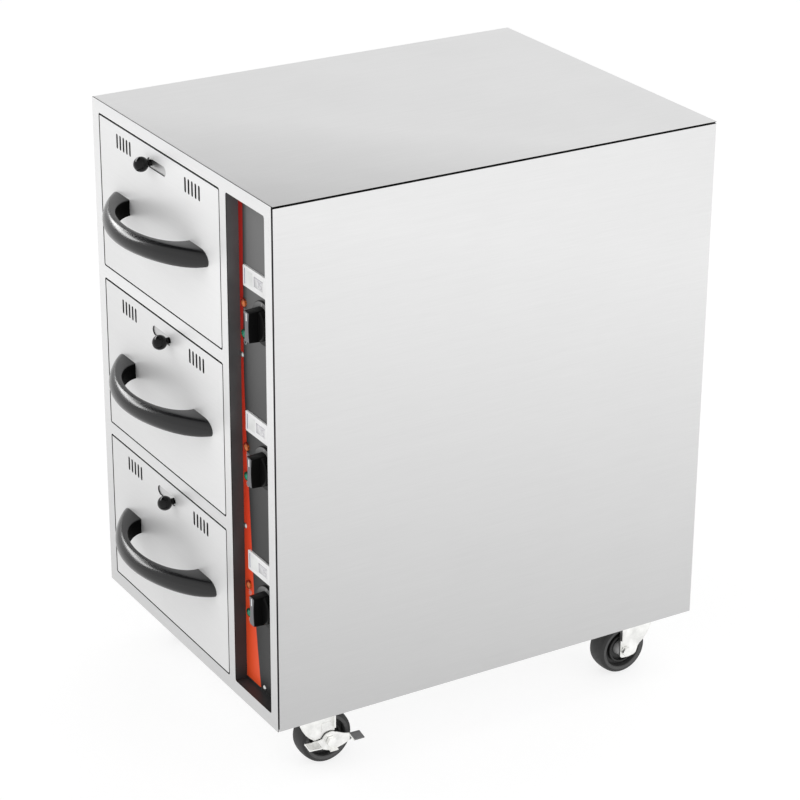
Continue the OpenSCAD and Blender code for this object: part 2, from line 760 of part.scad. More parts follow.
module shutter_knob(i)
  translate([drawer_x + shutter_rest[i - 1], sheet + lay, face_top(i) - vent_drop - 1]) rotate([90, 0, 0])
    rotate_extrude($fn = 48) {
      ball_r = ball_d / 2;
      ball_y = stem_reach + sheet + lay;
      translate([0, -shutter_t - 3]) square([stem_d / 2 - 1.1, 3 + shutter_t + 1]);
      square([stem_d / 2, ball_y - ball_r + 2]);
      intersection() {
        translate([0, ball_y]) circle(ball_r);
        translate([0, ball_y - ball_r]) square([ball_r, ball_d]);
      }
    }

module drawer_1_front() color("whitesmoke") whole() drawer_front(1);
module drawer_2_front() color("whitesmoke") whole() drawer_front(2);
module drawer_3_front() color("whitesmoke") whole() drawer_front(3);
module drawer_1_frame() color("silver") whole() drawer_frame(1);
module drawer_2_frame() color("silver") whole() drawer_frame(2);
module drawer_3_frame() color("silver") whole() drawer_frame(3);
module drawer_1_pan() color("lightgray") whole() food_pan(1);
module drawer_2_pan() color("lightgray") whole() food_pan(2);
module drawer_3_pan() color("lightgray") whole() food_pan(3);
module drawer_1_handle() color("#1c1c1c") whole() drawer_handle(1);
module drawer_2_handle() color("#1c1c1c") whole() drawer_handle(2);
module drawer_3_handle() color("#1c1c1c") whole() drawer_handle(3);
module drawer_1_shutter() color("silver") whole() vent_shutter(1);
module drawer_2_shutter() color("silver") whole() vent_shutter(2);
module drawer_3_shutter() color("silver") whole() vent_shutter(3);
module drawer_1_shutter_knob() color("#1c1c1c") whole() shutter_knob(1);
module drawer_2_shutter_knob() color("#1c1c1c") whole() shutter_knob(2);
module drawer_3_shutter_knob() color("#1c1c1c") whole() shutter_knob(3);
module drawer_1_inner_slides() color("silver") whole() inner_slides(1);
module drawer_2_inner_slides() color("silver") whole() inner_slides(2);
module drawer_3_inner_slides() color("silver") whole() inner_slides(3);
module drawer_1_mid_slides() color("gainsboro") whole() mid_slides(1);
module drawer_2_mid_slides() color("gainsboro") whole() mid_slides(2);
module drawer_3_mid_slides() color("gainsboro") whole() mid_slides(3);

// Wiring and fasteners

gland_d = 20;
gland_z = body_z0 + 70;

module cable_gland() color("#222222") whole() translate([control_x, body_d, gland_z]) rotate([-90, 0, 0])
  difference() {
    union() {
      cylinder(d = gland_d, h = 18, center = true);
      cylinder(d = gland_d + 8, h = 5, $fn = 6);
      translate([0, 0, 5]) cylinder(d1 = gland_d + 3, d2 = gland_d - 2, h = gland_out - 5);
      translate([0, 0, -sheet - 4]) cylinder(d = gland_d + 7, h = 4, $fn = 6);
    }
    translate([0, 0, -20]) cylinder(d = 9, h = 40);
  }

block_poles = 5;
pole_pitch = 12;

module terminal_block() color("ivory") whole()
  translate([control_x - block_poles * pole_pitch / 2, body_d - 110, body_z0 + sheet]) difference() {
    union() {
      cube([block_poles * pole_pitch, 20, 10]);
      for (k = [0:block_poles - 1]) translate([k * pole_pitch + 1, 5, 10]) cube([pole_pitch - 2, 10, 7]);
    }
    for (k = [0:block_poles - 1]) translate([(k + 0.5) * pole_pitch, 10, 12]) cylinder(d = 5, h = 6);
  }

// A pan head screw along Y, its head towards the outside
module screw_y(x, z, y, out)
  translate([x, y, z]) rotate([90 * (out < 0 ? 1 : -1), 0, 0]) rotate_extrude($fn = 24) {
    intersection() {
      translate([0, screw_head_t - screw_head_d * 0.7]) circle(screw_head_d * 0.7);
      square([screw_head_d / 2, screw_head_t]);
    }
    translate([0, -screw_l]) square([screw_shank_d / 2, screw_l]);
  }

module cabinet_screws() color("silver") whole() {
  for (p = fascia_screw_places()) screw_y(p[0], p[1], bay_depth, -1);
  for (p = back_screw_places()) screw_y(p[0], p[1], body_d, 1);
}

// Casters

function caster_places() = [
  for (x = [left_x + caster_x, right_x - caster_x], y = [caster_front_y, body_d - caster_rear_y]) [x, y]
];
function plate_bolt_places() = [for (x = [-bolt_x, bolt_x], y = [-bolt_y, bolt_y]) [x, y]];

// Moves a caster drawn with its swivel axis at the origin to a corner of the cabinet
module at_caster(left, front)
  translate([left ? left_x + caster_x : right_x - caster_x,
             front ? caster_front_y : body_d - caster_rear_y, body_z0])
    mirror([left ? 1 : 0, 0, 0]) mirror([0, front ? 0 : 1, 0]) children();

// The mounting plate carries the upper race and the riveted kingpin
module caster_plate() {
  difference() {
    translate([-plate_w / 2, -plate_l / 2, -plate_t]) cube([plate_w, plate_l, plate_t]);
    for (p = plate_bolt_places())
      translate([p[0], p[1], -plate_t - cut]) cylinder(d = bolt_d + 0.6, h = plate_t + 2 * cut);
  }
  translate([0, 0, -plate_t]) mirror([0, 0, 1]) rotate_extrude($fn = 48) {
    square([kingpin_d / 2, -head_z - plate_t]);
    polygon([[0, 0], [race_r, 0], [race_r - 3, race_t], [0, race_t]]);
    translate([0, -head_z - plate_t - head_t]) square([kingpin_d / 2 + 4, head_t]);
  }
}

module caster_plates() color("silver") whole()
  for (left = [true, false], front = [true, false]) at_caster(left, front) caster_plate();

module caster_bolts() color("silver") whole()
  for (left = [true, false], front = [true, false]) at_caster(left, front)
    for (p = plate_bolt_places()) translate([p[0], p[1], 0]) {
      translate([0, 0, -plate_t - bolt_head_t]) cylinder(r = bolt_d * 0.85, h = bolt_head_t, $fn = 6);
      translate([0, 0, -plate_t]) cylinder(d = bolt_d, h = plate_t + sheet + bolt_out);
      translate([0, 0, sheet]) cylinder(r = bolt_d * 0.85, h = bolt_nut_t, $fn = 6);
    }

leg_rear = 8.5;
leg_reach = 46;
leg_back = trail + leg_rear;
leg_front = trail - leg_reach;
nut_r = 7.5;
nut_t = 6;
flange_w = 4;
flange_low = 18;

// Side view of a fork leg: straight behind, in front a slope that swings in to a broad axle lobe
module leg_outline() {
  top = axle_drop + crown_z;
  translate([trail, -axle_drop]) polygon([
    [leg_rear, top], [leg_rear, -8], [leg_rear - 3, -11], [-6, -12], [-15.5, -10.5], [-19.5, -7.5],
    [-21.3, -2], [-22.5, 2], [-25.5, 5.8], [-31, 10], [-37, 16.5], [4.5 - leg_reach, 24],
    [1.5 - leg_reach, 31], [-leg_reach, 38], [-leg_reach, top]
  ]);
}

// Pressed fork: round crown, two legs with a folded rear edge, and the lower swivel race
module caster_fork(brake) {
  difference() {
    union() {
      translate([0, 0, crown_z - crown_t]) linear_extrude(crown_t) {
        circle(race_r + 1.5);
        translate([-leg_x - leg_t, leg_front]) square([2 * (leg_x + leg_t), leg_back - leg_front]);
      }
      translate([0, 0, crown_z]) cylinder(r1 = race_r, r2 = race_r - 3, h = race_t - race_gap);
      for (x = [-leg_x - leg_t, leg_x])
        translate([x, 0, 0]) rotate([90, 0, 90]) linear_extrude(leg_t) leg_outline();
      for (x = [-leg_x - leg_t - flange_w, leg_x + leg_t - 0.5])
        translate([x, leg_back - leg_t, flange_low - axle_drop])
          cube([flange_w + 0.5, leg_t, axle_drop + crown_z - flange_low]);
      if (brake) translate([leg_x + leg_t - 0.5, trail - 12, 15 - axle_drop]) cube([1.5, 15, 13]);
    }
    translate([0, 0, crown_z - crown_t - cut]) cylinder(d = kingpin_d + 0.1, h = 30);
    bar_x(trail, -axle_drop, -60, 60, axle_d + 0.2);
  }
  // The axle bolt with its head and nut
  nut_x = (brake ? lever_x + lever_t : leg_x + leg_t) + 0.4;
  bar_x(trail, -axle_drop, -leg_x - leg_t - 0.2, nut_x + nut_t, axle_d);
  for (x = [-leg_x - leg_t - 0.2 - nut_t, nut_x])
    translate([x, trail, -axle_drop]) rotate([0, 90, 0]) rotate([0, 0, 30])
      cylinder(r = nut_r, h = nut_t, $fn = 6);
}

hub_r = 11;
web_half = 9;
groove_half = 8;
rim_r = wheel_r * 0.52;
core_r = wheel_r * 0.72;
bead_r = 1.6;

// Wheel: hub, dished web, a rim with a raised bead, a groove and the tread, revolved about the axle
module caster_wheel() translate([0, trail, -axle_drop]) rotate([0, 90, 0]) rotate_extrude($fn = 64) {
  hub_half = leg_x - 0.6;
  half = wheel_w / 2;
  bore = axle_d / 2 + 0.05;
  polygon([
    [bore, -hub_half], [hub_r - 2, -hub_half], [hub_r, -half + 3], [hub_r + 1, -web_half],
    [rim_r - bead_r, -web_half], [rim_r - bead_r, -half + 2.5], [rim_r, -half + 1.5],
    [rim_r + bead_r, -half + 2.5], [rim_r + bead_r, -groove_half], [core_r, -groove_half],
    [core_r, -half + 1], [core_r + 1.5, -half], [wheel_r - 5, -half], [wheel_r - 1.6, -half + 3],
    [wheel_r, -half * 0.5], [wheel_r, half * 0.5],
    [wheel_r - 1.6, half - 3], [wheel_r - 5, half], [core_r + 1.5, half],
    [core_r, half - 1], [core_r, groove_half], [rim_r + bead_r, groove_half], [rim_r + bead_r, half - 2.5],
    [rim_r, half - 1.5], [rim_r - bead_r, half - 2.5], [rim_r - bead_r, web_half],
    [hub_r + 1, web_half], [hub_r, half - 3], [hub_r - 2, hub_half], [bore, hub_half]
  ]);
}

tab_w = 15;
tab_t = 2;
boss_r = 13;

// A pressed brake lever, rocking on the axle bolt outside the leg, with a foot tab at each end
// and a narrow folded lip under its middle
module caster_brake() translate([lever_x, trail, -axle_drop]) difference() {
  union() {
    rotate([90, 0, 90]) linear_extrude(lever_t) {
      polygon([
        [-40, 5.6], [-20, 3.6], [-13, 4.5], [-6, 11], [3, 13], [9.5, 11], [21, 5.5], [32, 2], [47, 1.5],
        [47, -1], [38, -4.5], [31, -8.5], [20, -12.5], [9.5, -15.5], [-2, -15.5], [-12, -11],
        [-18, -3], [-40, 2.4]
      ]);
      circle(boss_r);
    }
    translate([0, -40, 3.6]) rotate([-6, 14, 0]) cube([tab_w, 20, tab_t]);
    translate([0, 30, 0]) rotate([-2, 12, 0]) cube([tab_w, 17, tab_t]);
    translate([0, -3, -15.5]) cube([7, 13, 1.5]);
  }
  bar_x(0, 0, -cut, lever_t + cut, axle_d + 0.2);
  bar_x(0, 0, lever_t, tab_w + 2, 2 * nut_r + 3);
}

module front_left_fork() color("silver") whole() at_caster(true, true) caster_fork(true);
module front_right_fork() color("silver") whole() at_caster(false, true) caster_fork(true);
module rear_left_fork() color("silver") whole() at_caster(true, false) caster_fork(false);
module rear_right_fork() color("silver") whole() at_caster(false, false) caster_fork(false);
module front_left_wheel() color("#444444") whole() at_caster(true, true) caster_wheel();
module front_right_wheel() color("#444444") whole() at_caster(false, true) caster_wheel();
module rear_left_wheel() color("#444444") whole() at_caster(true, false) caster_wheel();
module rear_right_wheel() color("#444444") whole() at_caster(false, false) caster_wheel();
module front_left_brake() color("gainsboro") whole() at_caster(true, true) caster_brake();
module front_right_brake() color("gainsboro") whole() at_caster(false, true) caster_brake();

top_panel();
left_side_panel();
right_side_panel();
back_panel();
base_pan();
front_frame();
inner_liner();
heater_shelves();
heating_elements();
insulation();
control_recess();
control_fascia();
thermometers();
heat_lamps();
power_lamps();
thermostats();
outer_slides();
cabinet_screws();
cable_gland();
terminal_block();
caster_plates();
caster_bolts();
top_knob();
middle_knob();
bottom_knob();
drawer_1_front();
drawer_1_frame();
drawer_1_pan();
drawer_1_handle();
drawer_1_shutter();
drawer_1_shutter_knob();
drawer_1_inner_slides();
drawer_1_mid_slides();
drawer_2_front();
drawer_2_frame();
drawer_2_pan();
drawer_2_handle();
drawer_2_shutter();
drawer_2_shutter_knob();
drawer_2_inner_slides();
drawer_2_mid_slides();
drawer_3_front();
drawer_3_frame();
drawer_3_pan();
drawer_3_handle();
drawer_3_shutter();
drawer_3_shutter_knob();
drawer_3_inner_slides();
drawer_3_mid_slides();
front_left_fork();
front_right_fork();
rear_left_fork();
rear_right_fork();
front_left_wheel();
front_right_wheel();
rear_left_wheel();
rear_right_wheel();
front_left_brake();
front_right_brake();
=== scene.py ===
import math
import bmesh
import bpy
from mathutils import Matrix, Vector


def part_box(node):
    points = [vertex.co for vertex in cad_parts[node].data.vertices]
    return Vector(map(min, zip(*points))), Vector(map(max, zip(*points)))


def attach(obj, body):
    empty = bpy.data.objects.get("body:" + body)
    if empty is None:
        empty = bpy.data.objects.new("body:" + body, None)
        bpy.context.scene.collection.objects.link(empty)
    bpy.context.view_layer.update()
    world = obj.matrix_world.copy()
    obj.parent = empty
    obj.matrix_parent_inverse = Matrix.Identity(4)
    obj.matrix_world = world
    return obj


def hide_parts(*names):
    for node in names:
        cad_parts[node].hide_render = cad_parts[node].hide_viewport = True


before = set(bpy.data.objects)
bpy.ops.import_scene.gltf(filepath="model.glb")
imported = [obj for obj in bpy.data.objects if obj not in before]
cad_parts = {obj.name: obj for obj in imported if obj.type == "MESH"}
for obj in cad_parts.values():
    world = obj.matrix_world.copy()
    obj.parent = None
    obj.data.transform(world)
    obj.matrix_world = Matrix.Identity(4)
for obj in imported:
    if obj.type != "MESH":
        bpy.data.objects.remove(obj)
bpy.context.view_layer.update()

# Plate warmer cabinet: looks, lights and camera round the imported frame. Metres, the drawers open towards -Y.

rows = (1, 2, 3)      # drawers and their controls, from the top
frontY = -0.316       # the cabinet's face
drawerX = -0.0595     # middle of the drawers
drawerTops = {1: 0.83025, 2: 0.58675, 3: 0.34325}
meterZ = {1: 0.722, 2: 0.5165, 3: 0.311}
knobNames = {1: "top", 2: "middle", 3: "bottom"}
fasciaY = -0.298      # the control plate, set back in its bay


# Shader maths on sockets

class Signal:
    def __init__(self, wiring, socket):
        self.wiring = wiring
        self.socket = socket

    def combine(self, operation, other, swapped=False):
        first, second = (other, self) if swapped else (self, other)
        return self.wiring.add("Math", {"operation": operation}, {0: first, 1: second})

    def __add__(self, other): return self.combine("ADD", other)
    def __radd__(self, other): return self.combine("ADD", other, True)
    def __sub__(self, other): return self.combine("SUBTRACT", other)
    def __rsub__(self, other): return self.combine("SUBTRACT", other, True)
    def __mul__(self, other): return self.combine("MULTIPLY", other)
    def __rmul__(self, other): return self.combine("MULTIPLY", other, True)
    def __truediv__(self, other): return self.combine("DIVIDE", other)
    def __rtruediv__(self, other): return self.combine("DIVIDE", other, True)
    def __pow__(self, other): return self.combine("POWER", other)
    def __gt__(self, other): return self.combine("GREATER_THAN", other)
    def __lt__(self, other): return self.combine("LESS_THAN", other)

    # 0 below start, 1 above end, even in between
    def rise(self, start, end):
        return self.wiring.add("MapRange", {"clamp": True}, {"Value": self, "From Min": start, "From Max": end})

    # Starts again from 0 at every pitch
    def repeat(self, pitch):
        return self.wiring.add("Math", {"operation": "WRAP"}, {0: self, 1: pitch, 2: 0.0})


class Wiring:
    def __init__(self, tree):
        self.tree = tree

    def add(self, kind, settings=None, sockets=None, output=0):
        node = self.tree.nodes.new("ShaderNode" + kind)
        for name, value in (settings or {}).items():
            if name == "stops":
                ramp = node.color_ramp
                ramp.elements.remove(ramp.elements[1])
                ramp.elements[0].position, ramp.elements[0].color = value[0]
                for place, colour in value[1:]:
                    ramp.elements.new(place).color = colour
            elif name == "blend":
                node.color_ramp.interpolation = value
            else:
                setattr(node, name, value)
        for name, value in (sockets or {}).items():
            self.feed(node.inputs[name], value)
        return Signal(self, node.outputs[output])

    def feed(self, socket, value):
        if isinstance(value, Signal):
            self.tree.links.new(value.socket, socket)
        else:
            socket.default_value = value


class Finish(Wiring):
    def __init__(self, name, **fixed):
        self.material = bpy.data.materials.new(name)
        self.material.use_nodes = True
        super().__init__(self.material.node_tree)
        self.shader = self.tree.nodes["Principled BSDF"]
        for word, value in fixed.items():
            self.shader.inputs[socketNames[word]].default_value = value

    def drive(self, word, value):
        self.feed(self.shader.inputs[socketNames[word]], value)

    def axis(self, letter):
        where = self.add("TexCoord", output="Object")
        return self.add("SeparateXYZ", None, {"Vector": where}, letter)

    def noise(self, scale, detail=3.0, rough=0.5, stretch=(1, 1, 1)):
        where = self.add("TexCoord", output="Object")
        where = self.add("Mapping", None, {"Vector": where, "Scale": stretch})
        return self.add("TexNoise", None, {"Vector": where, "Scale": scale, "Detail": detail, "Roughness": rough})

    def mix(self, amount, first, second):
        return self.add("Mix", {"data_type": "RGBA"}, {0: amount, 6: first, 7: second}, 2)

    def bump(self, height, strength, distance):
        sockets = {"Height": height, "Strength": strength, "Distance": distance}
        self.drive("normal", self.add("Bump", None, sockets))


socketNames = {
    "colour": "Base Color", "metal": "Metallic", "rough": "Roughness", "coat": "Coat Weight",
    "coatRough": "Coat Roughness", "normal": "Normal", "glow": "Emission Color",
    "glowPower": "Emission Strength", "sheen": "Sheen Weight", "specular": "Specular IOR Level",
}


def grey(level):
    return (level, level, level, 1.0)


# The colour at a share of its brightness
def shaded(colour, share=1.0):
    return tuple(part * share for part in colour[:3]) + (1.0,)


# Brushed sheet: fine lines along one direction and soft smudges in the gloss.
# fade: a direction, where the tone starts and ends changing along it, and the share of the level at the start;
# this is painted shade and reflection, darker towards the start
# folds: how far behind the face the painted shade on the folded edges starts and ends, and how dark it is
# bend: width of the painted dark reflection along the front edge, where the top sheet bends down
# seam: height of the painted shadow line at the seam between the top sheet and the sides, and whether the sheet
# lies above it
# shadeOf: gives the places of a face where shade is painted, from its finish
brush = {
    "grain": 900.0, "streaks": 160.0, "clouds": 9.0, "cloudDepth": 0.02, "smudge": 0.04, "shade": (0.86, 1.0),
    "tones": (0.86, 1.02), "bend": 0.11, "paintedShade": 0.010, "fold": 0.006, "foldSoft": 0.0001, "foldEnd": 1.6,
    "joint": 0.012, "jointSoft": 0.00005,
}


def brushedSteel(name, stretch, level, rough, lines=0.05, tint=(1.0, 1.0, 1.0), fade=None, metal=1.0, folds=None,
                 bend=None, seam=None, shadeOf=None):
    finish = Finish(name, metal=metal)
    grain = finish.noise(brush["grain"], 2.0, stretch=stretch)
    streaks = finish.noise(brush["streaks"], 2.0, stretch=stretch)
    cloud = finish.noise(brush["clouds"])
    tone = 1.0 - lines * grain - lines * 0.5 * streaks - brush["cloudDepth"] * cloud
    tone = tone.rise(*brush["shade"])
    sheet = [level * part for part in tint]
    low, high = (shaded(sheet, share) for share in brush["tones"])
    colour = finish.mix(tone, low, high)
    # Painted shade and reflection: the colour is darker towards the start of the fade
    if fade:
        (dx, dy, dz), start, end, share = fade
        along = finish.axis("X") * dx + finish.axis("Y") * dy + finish.axis("Z") * dz
        darker = finish.mix(tone, shaded(low, share), shaded(high, share))
        colour = finish.mix(along.rise(start, end), darker, colour)
    # Painted dark reflection: a dark line along the front edge, where the top sheet bends down
    if bend:
        line = 1.0 - (finish.axis("Y") - frontY).rise(bend * 0.7, bend)
        colour = finish.mix(line, colour, grey(brush["bend"]))
    # Painted shade where shadeOf gives it
    if shadeOf:
        colour = finish.mix(shadeOf(finish), colour, grey(brush["paintedShade"]))
    # Painted shade: the edges folded back behind the face are painted nearly black, standing in for the shade in
    # the gaps
    if folds:
        near, far, depth = folds
        behind = finish.axis("Y") - frontY
        inFoldShade = behind.rise(near, near + brush["foldSoft"]) * (1.0 - behind.rise(far, far * brush["foldEnd"]))
        colour = finish.mix(inFoldShade * depth, colour, grey(brush["fold"]))
    # Painted shadow: a dark line along the seam between the top sheet and the sides
    if seam:
        height, above = seam
        joint = finish.axis("Z").rise(height - brush["jointSoft"], height + brush["jointSoft"])
        colour = finish.mix(1.0 - joint if above else joint, colour, grey(brush["joint"]))
    finish.drive("colour", colour)
    finish.drive("rough", rough + brush["smudge"] * (cloud - 0.5) + 0.05 * (grain - 0.5))
    finish.bump(grain, 0.05, 0.0002)
    return finish.material


# Bright zinc with the faint mottle of plating. tip is where along Y a painted dark reflection begins, making the
# brake tab's tip dark grey
plating = {"clouds": 60.0, "fine": 700.0, "mottle": (0.35, 0.7), "tones": (0.82, 1.05),
           "tip": (0.22, 0.22, 0.222), "tipSoft": 0.0004}


def zincPlate(name, level, rough, tint=(1.0, 1.0, 0.98), tip=None):
    finish = Finish(name, metal=1.0)
    cloud = finish.noise(plating["clouds"], 4.0, 0.6)
    fine = finish.noise(plating["fine"], 2.0)
    plate = [level * part for part in tint]
    low, high = (shaded(plate, share) for share in plating["tones"])
    colour = finish.mix(cloud.rise(*plating["mottle"]), low, high)
    # painted dark reflection: past tip along Y the zinc turns dark grey
    if tip:
        colour = finish.mix(finish.axis("Y").rise(tip, tip + plating["tipSoft"]), colour, shaded(plating["tip"]))
    finish.drive("colour", colour)
    finish.drive("rough", rough + 0.16 * (cloud - 0.5) + 0.06 * (fine - 0.5))
    finish.bump(fine, 0.08, 0.0002)
    return finish.material


# Moulded plastic and paint. fade is where along Z the tone starts and ends changing, and its share at the start;
# it is painted shade, darker towards the bottom
def mouldedPlastic(name, colour, rough, grainScale=1400.0, grainDepth=0.06, spread=0.12, coat=0.0, specular=0.5,
                   fade=None):
    finish = Finish(name, coat=coat, coatRough=0.08, specular=specular)
    cloud = finish.noise(30.0)
    fine = finish.noise(grainScale, 2.0)
    tone = cloud.rise(0.3, 0.7)
    low, high = shaded(colour, 1 - spread), shaded(colour, 1 + spread)
    mottled = finish.mix(tone, low, high)
    # Painted shade: the colour is darker towards the bottom
    if fade:
        start, end, share = fade
        darker = finish.mix(tone, shaded(low, share), shaded(high, share))
        mottled = finish.mix(finish.axis("Z").rise(start, end), darker, mottled)
    finish.drive("colour", mottled)
    finish.drive("rough", rough + 0.10 * (cloud - 0.5) + 0.05 * (fine - 0.5))
    finish.bump(fine, grainDepth, 0.0001)
    return finish.material


# Knobs: black mouldings with a grey printed band and plain numbers on their flat skirts. The band's grey is
# painted light: pale near the top, going nearly black lower down
dial = {
    "x": 0.205, "drop": 0.050, "skirt": 0.0035, "black": (0.004, 0.007), "bandInner": 0.0222, "bandOuter": 0.0291,
    "bandSoft": (0.0004, 0.0003), "bandTones": (0.018, 0.22), "bandLightFade": (0.008, 0.029),
    "numbers": ("0", "30", "50", "70", "90", "110"), "step": 50, "numberRadius": 0.0258, "textSize": 0.0050,
    "depth": 0.00010,
}


def dialMoulding(name, centreZ):
    finish = Finish(name, specular=0.12)
    fine = finish.noise(1400.0, 2.0)
    across = finish.axis("X") - dial["x"]
    upward = finish.axis("Z") - centreZ
    out = (across * across + upward * upward) ** 0.5
    inner, outer = dial["bandInner"], dial["bandOuter"]
    innerSoft, outerSoft = dial["bandSoft"]
    band = out.rise(inner, inner + innerSoft) * (1.0 - out.rise(outer, outer + outerSoft))
    band = band * (finish.axis("Y") > fasciaY - dial["skirt"] - 0.0002)
    # painted light on the printed band: grey near the top, nearly black lower down
    printed = finish.mix(upward.rise(*dial["bandLightFade"]), *map(grey, dial["bandTones"]))
    moulded = finish.mix(fine, *map(grey, dial["black"]))
    finish.drive("colour", finish.mix(band, moulded, printed))
    finish.drive("rough", 0.36 + 0.06 * (fine - 0.5))
    finish.bump(fine, 0.04, 0.0001)
    return finish.material


# Drawer fronts: painted shade in a band round each vent slot and along the left and top gaps of each front, one
# drawer apart
slot = {"groupX": 0.103, "half": 0.0225, "pitch": 0.010, "width": 0.0032, "height": 0.0195, "drop": 0.023,
        "edge": 0.0009}
faceGap = {"pitch": 0.2435, "left": 0.0007, "top": 0.0007}


def drawerShade(finish):
    low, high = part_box("drawer_3_front")
    acrossFace = finish.axis("X") - drawerX
    side = (acrossFace * acrossFace) ** 0.5 - slot["groupX"]
    along = (side + slot["pitch"] / 2).repeat(slot["pitch"]) - slot["pitch"] / 2
    below = faceGap["pitch"] - (finish.axis("Z") - (high[2] - faceGap["pitch"])).repeat(faceGap["pitch"])
    upward = below - slot["drop"]
    reach = (upward * upward) ** 0.5 - (slot["height"] - slot["width"]) / 2
    reach = reach.combine("MAXIMUM", 0.0)
    out = (along * along + reach * reach) ** 0.5
    # painted shade: a dark band round each vent slot, so the slots look wider and darker
    paintedShade = (out < slot["width"] / 2 + slot["edge"]) * (side * side < slot["half"] ** 2)
    # painted shade along the left and top gaps of the front
    edges = (acrossFace < low[0] - drawerX + faceGap["left"]) + (below < faceGap["top"])
    return paintedShade.combine("MAXIMUM", edges)


# Round lenses one pitch apart: a bright streaky middle inside a dark rim
lens = {"x": 0.1539, "pitch": 0.2055, "heatZ": 0.682, "powerZ": 0.639, "inner": 0.0036, "outer": 0.0050,
        "glow": 0.05, "streak": 0.35}


def lampLens(name, topZ, middle, rim):
    finish = Finish(name, rough=0.12, coat=0.15, coatRough=0.05, specular=0.3, glowPower=lens["glow"])
    ridges = finish.noise(500.0, 2.0, stretch=(1.6, 1, 0.5))
    half = lens["pitch"] / 2
    upward = (finish.axis("Z") - (topZ - half)).repeat(lens["pitch"]) - half
    across = finish.axis("X") - lens["x"]
    out = (across * across + upward * upward) ** 0.5
    streaks = finish.mix(ridges.rise(0.35, 0.65), shaded(middle, lens["streak"]), shaded(middle))
    colour = finish.mix(out.rise(lens["inner"], lens["outer"]), streaks, shaded(rim))
    finish.drive("colour", colour)
    finish.drive("glow", colour)
    finish.bump(ridges, 0.12, 0.0004)
    return finish.material


# The fascia's printed wedge: narrow along the upper half, opening in a smooth curve to the foot. Its widths are
# in millimetres, and places run from 0 at the foot to 1 at the head. The red is painted darker towards the head
# as painted shade, and a painted shadow runs beside the wedge on the grey ground
wedge = {
    "left": 0.1384, "foot": 0.124, "height": 0.707, "soft": 0.0006, "widest": 50,
    "widths": ((0.0, 41), (0.025, 38.5), (0.08, 33), (0.15, 27), (0.30, 20), (0.44, 14), (0.58, 8), (0.67, 6.5),
               (0.80, 9), (1.0, 12)),
    "reds": ((0.0, (0.86, 0.090, 0.022, 1)), (0.35, (0.74, 0.050, 0.014, 1)), (0.75, (0.46, 0.017, 0.010, 1)),
             (1.0, (0.38, 0.012, 0.008, 1))),
    "ground": ((0.0, 0.016), (0.27, 0.025), (0.55, 0.055), (0.83, 0.132), (1.0, 0.165)),
    "rim": (0.022, 0.023, 0.024, 1), "shadowWidth": 0.012, "dust": (0.17, 0.17, 0.175, 1), "dustShare": 0.04,
}


def printedFascia(name):
    finish = Finish(name, metal=0.0, specular=0.3)
    along = (finish.axis("Z") - wedge["foot"]) / wedge["height"]
    widths = [(place, grey(width / wedge["widest"])) for place, width in wedge["widths"]]
    width = finish.add("ValToRGB", {"stops": widths, "blend": "B_SPLINE"}, {"Fac": along})
    width = width * (wedge["widest"] / 1000)
    past = finish.axis("X") - wedge["left"] - width
    inside = 1.0 - past.rise(-wedge["soft"], wedge["soft"])
    fine = finish.noise(1200.0, 2.0)
    cloud = finish.noise(14.0)
    greys = [(place, grey(level)) for place, level in wedge["ground"]]
    ground = finish.add("ValToRGB", {"stops": greys}, {"Fac": along})
    # painted shadow: the ground beside the wedge is nearly black, fading out over a short width
    ground = finish.mix(past.rise(0.0, wedge["shadowWidth"]), wedge["rim"], ground)
    ground = finish.mix(cloud.rise(0.3, 0.8) * wedge["dustShare"], ground, wedge["dust"])
    # the printed red, painted darker towards the head as painted shade
    red = finish.add("ValToRGB", {"stops": wedge["reds"]}, {"Fac": along})
    finish.drive("colour", finish.mix(inside, ground, red))
    finish.drive("rough", 0.42 + 0.08 * (fine - 0.5))
    finish.bump(fine, 0.08, 0.0001)
    return finish.material


def mineralWool(name):
    finish = Finish(name, rough=0.95, sheen=0.3)
    fibre = finish.noise(500.0, 6.0, 0.7, (1, 0.2, 1))
    finish.drive("colour", finish.mix(fibre.rise(0.3, 0.7), (0.42, 0.36, 0.18, 1), (0.72, 0.66, 0.42, 1)))
    finish.bump(fibre, 0.6, 0.002)
    return finish.material


def wheelRubber(name, level, rough):
    finish = Finish(name)
    cloud = finish.noise(45.0, 4.0, 0.6)
    dust = finish.noise(260.0, 4.0, 0.7)
    tone = cloud.rise(0.3, 0.7) * 0.6 + dust.rise(0.45, 0.8) * 0.4
    finish.drive("colour", finish.mix(tone, grey(level * 0.8), grey(level * 1.25)))
    finish.drive("rough", rough + 0.12 * (dust - 0.5))
    finish.bump(dust, 0.15, 0.0004)
    return finish.material


alongX = (0.02, 1, 1)
alongY = (1, 0.02, 1)
alongZ = (1, 1, 0.02)

# Painted shade and reflection: the face and sides darker lower down, the drawer fronts darker to the lower left,
# and the top darker towards the front right
steelFace = brushedSteel("steelFace", alongX, 0.83, 0.34, 0.04, metal=0.75, folds=(0.0001, 0.006, 0.97),
                         fade=((0, 0, 1), 0.10, 0.60, 0.73))
steelDrawer = brushedSteel("steelDrawer", alongX, 0.87, 0.38, 0.04, metal=0.28, folds=(0.0001, 0.006, 0.97),
                           fade=((1, 0, 1), 0.10, 0.85, 0.80), shadeOf=drawerShade)
steelSide = brushedSteel("steelSide", alongY, 0.84, 0.36, fade=((0, 0.28, 1), 0.012, 0.752, 0.66),
                         seam=(0.8465, False))
steelTop = brushedSteel("steelTop", alongY, 0.88, 0.36, fade=((-1, 1, 0), -0.56, -0.10, 0.75), bend=0.0018,
                        seam=(0.8496, True))
steelBack = brushedSteel("steelBack", alongX, 0.74, 0.40, 0.06)
steelLiner = brushedSteel("steelLiner", alongY, 0.68, 0.38, 0.06)
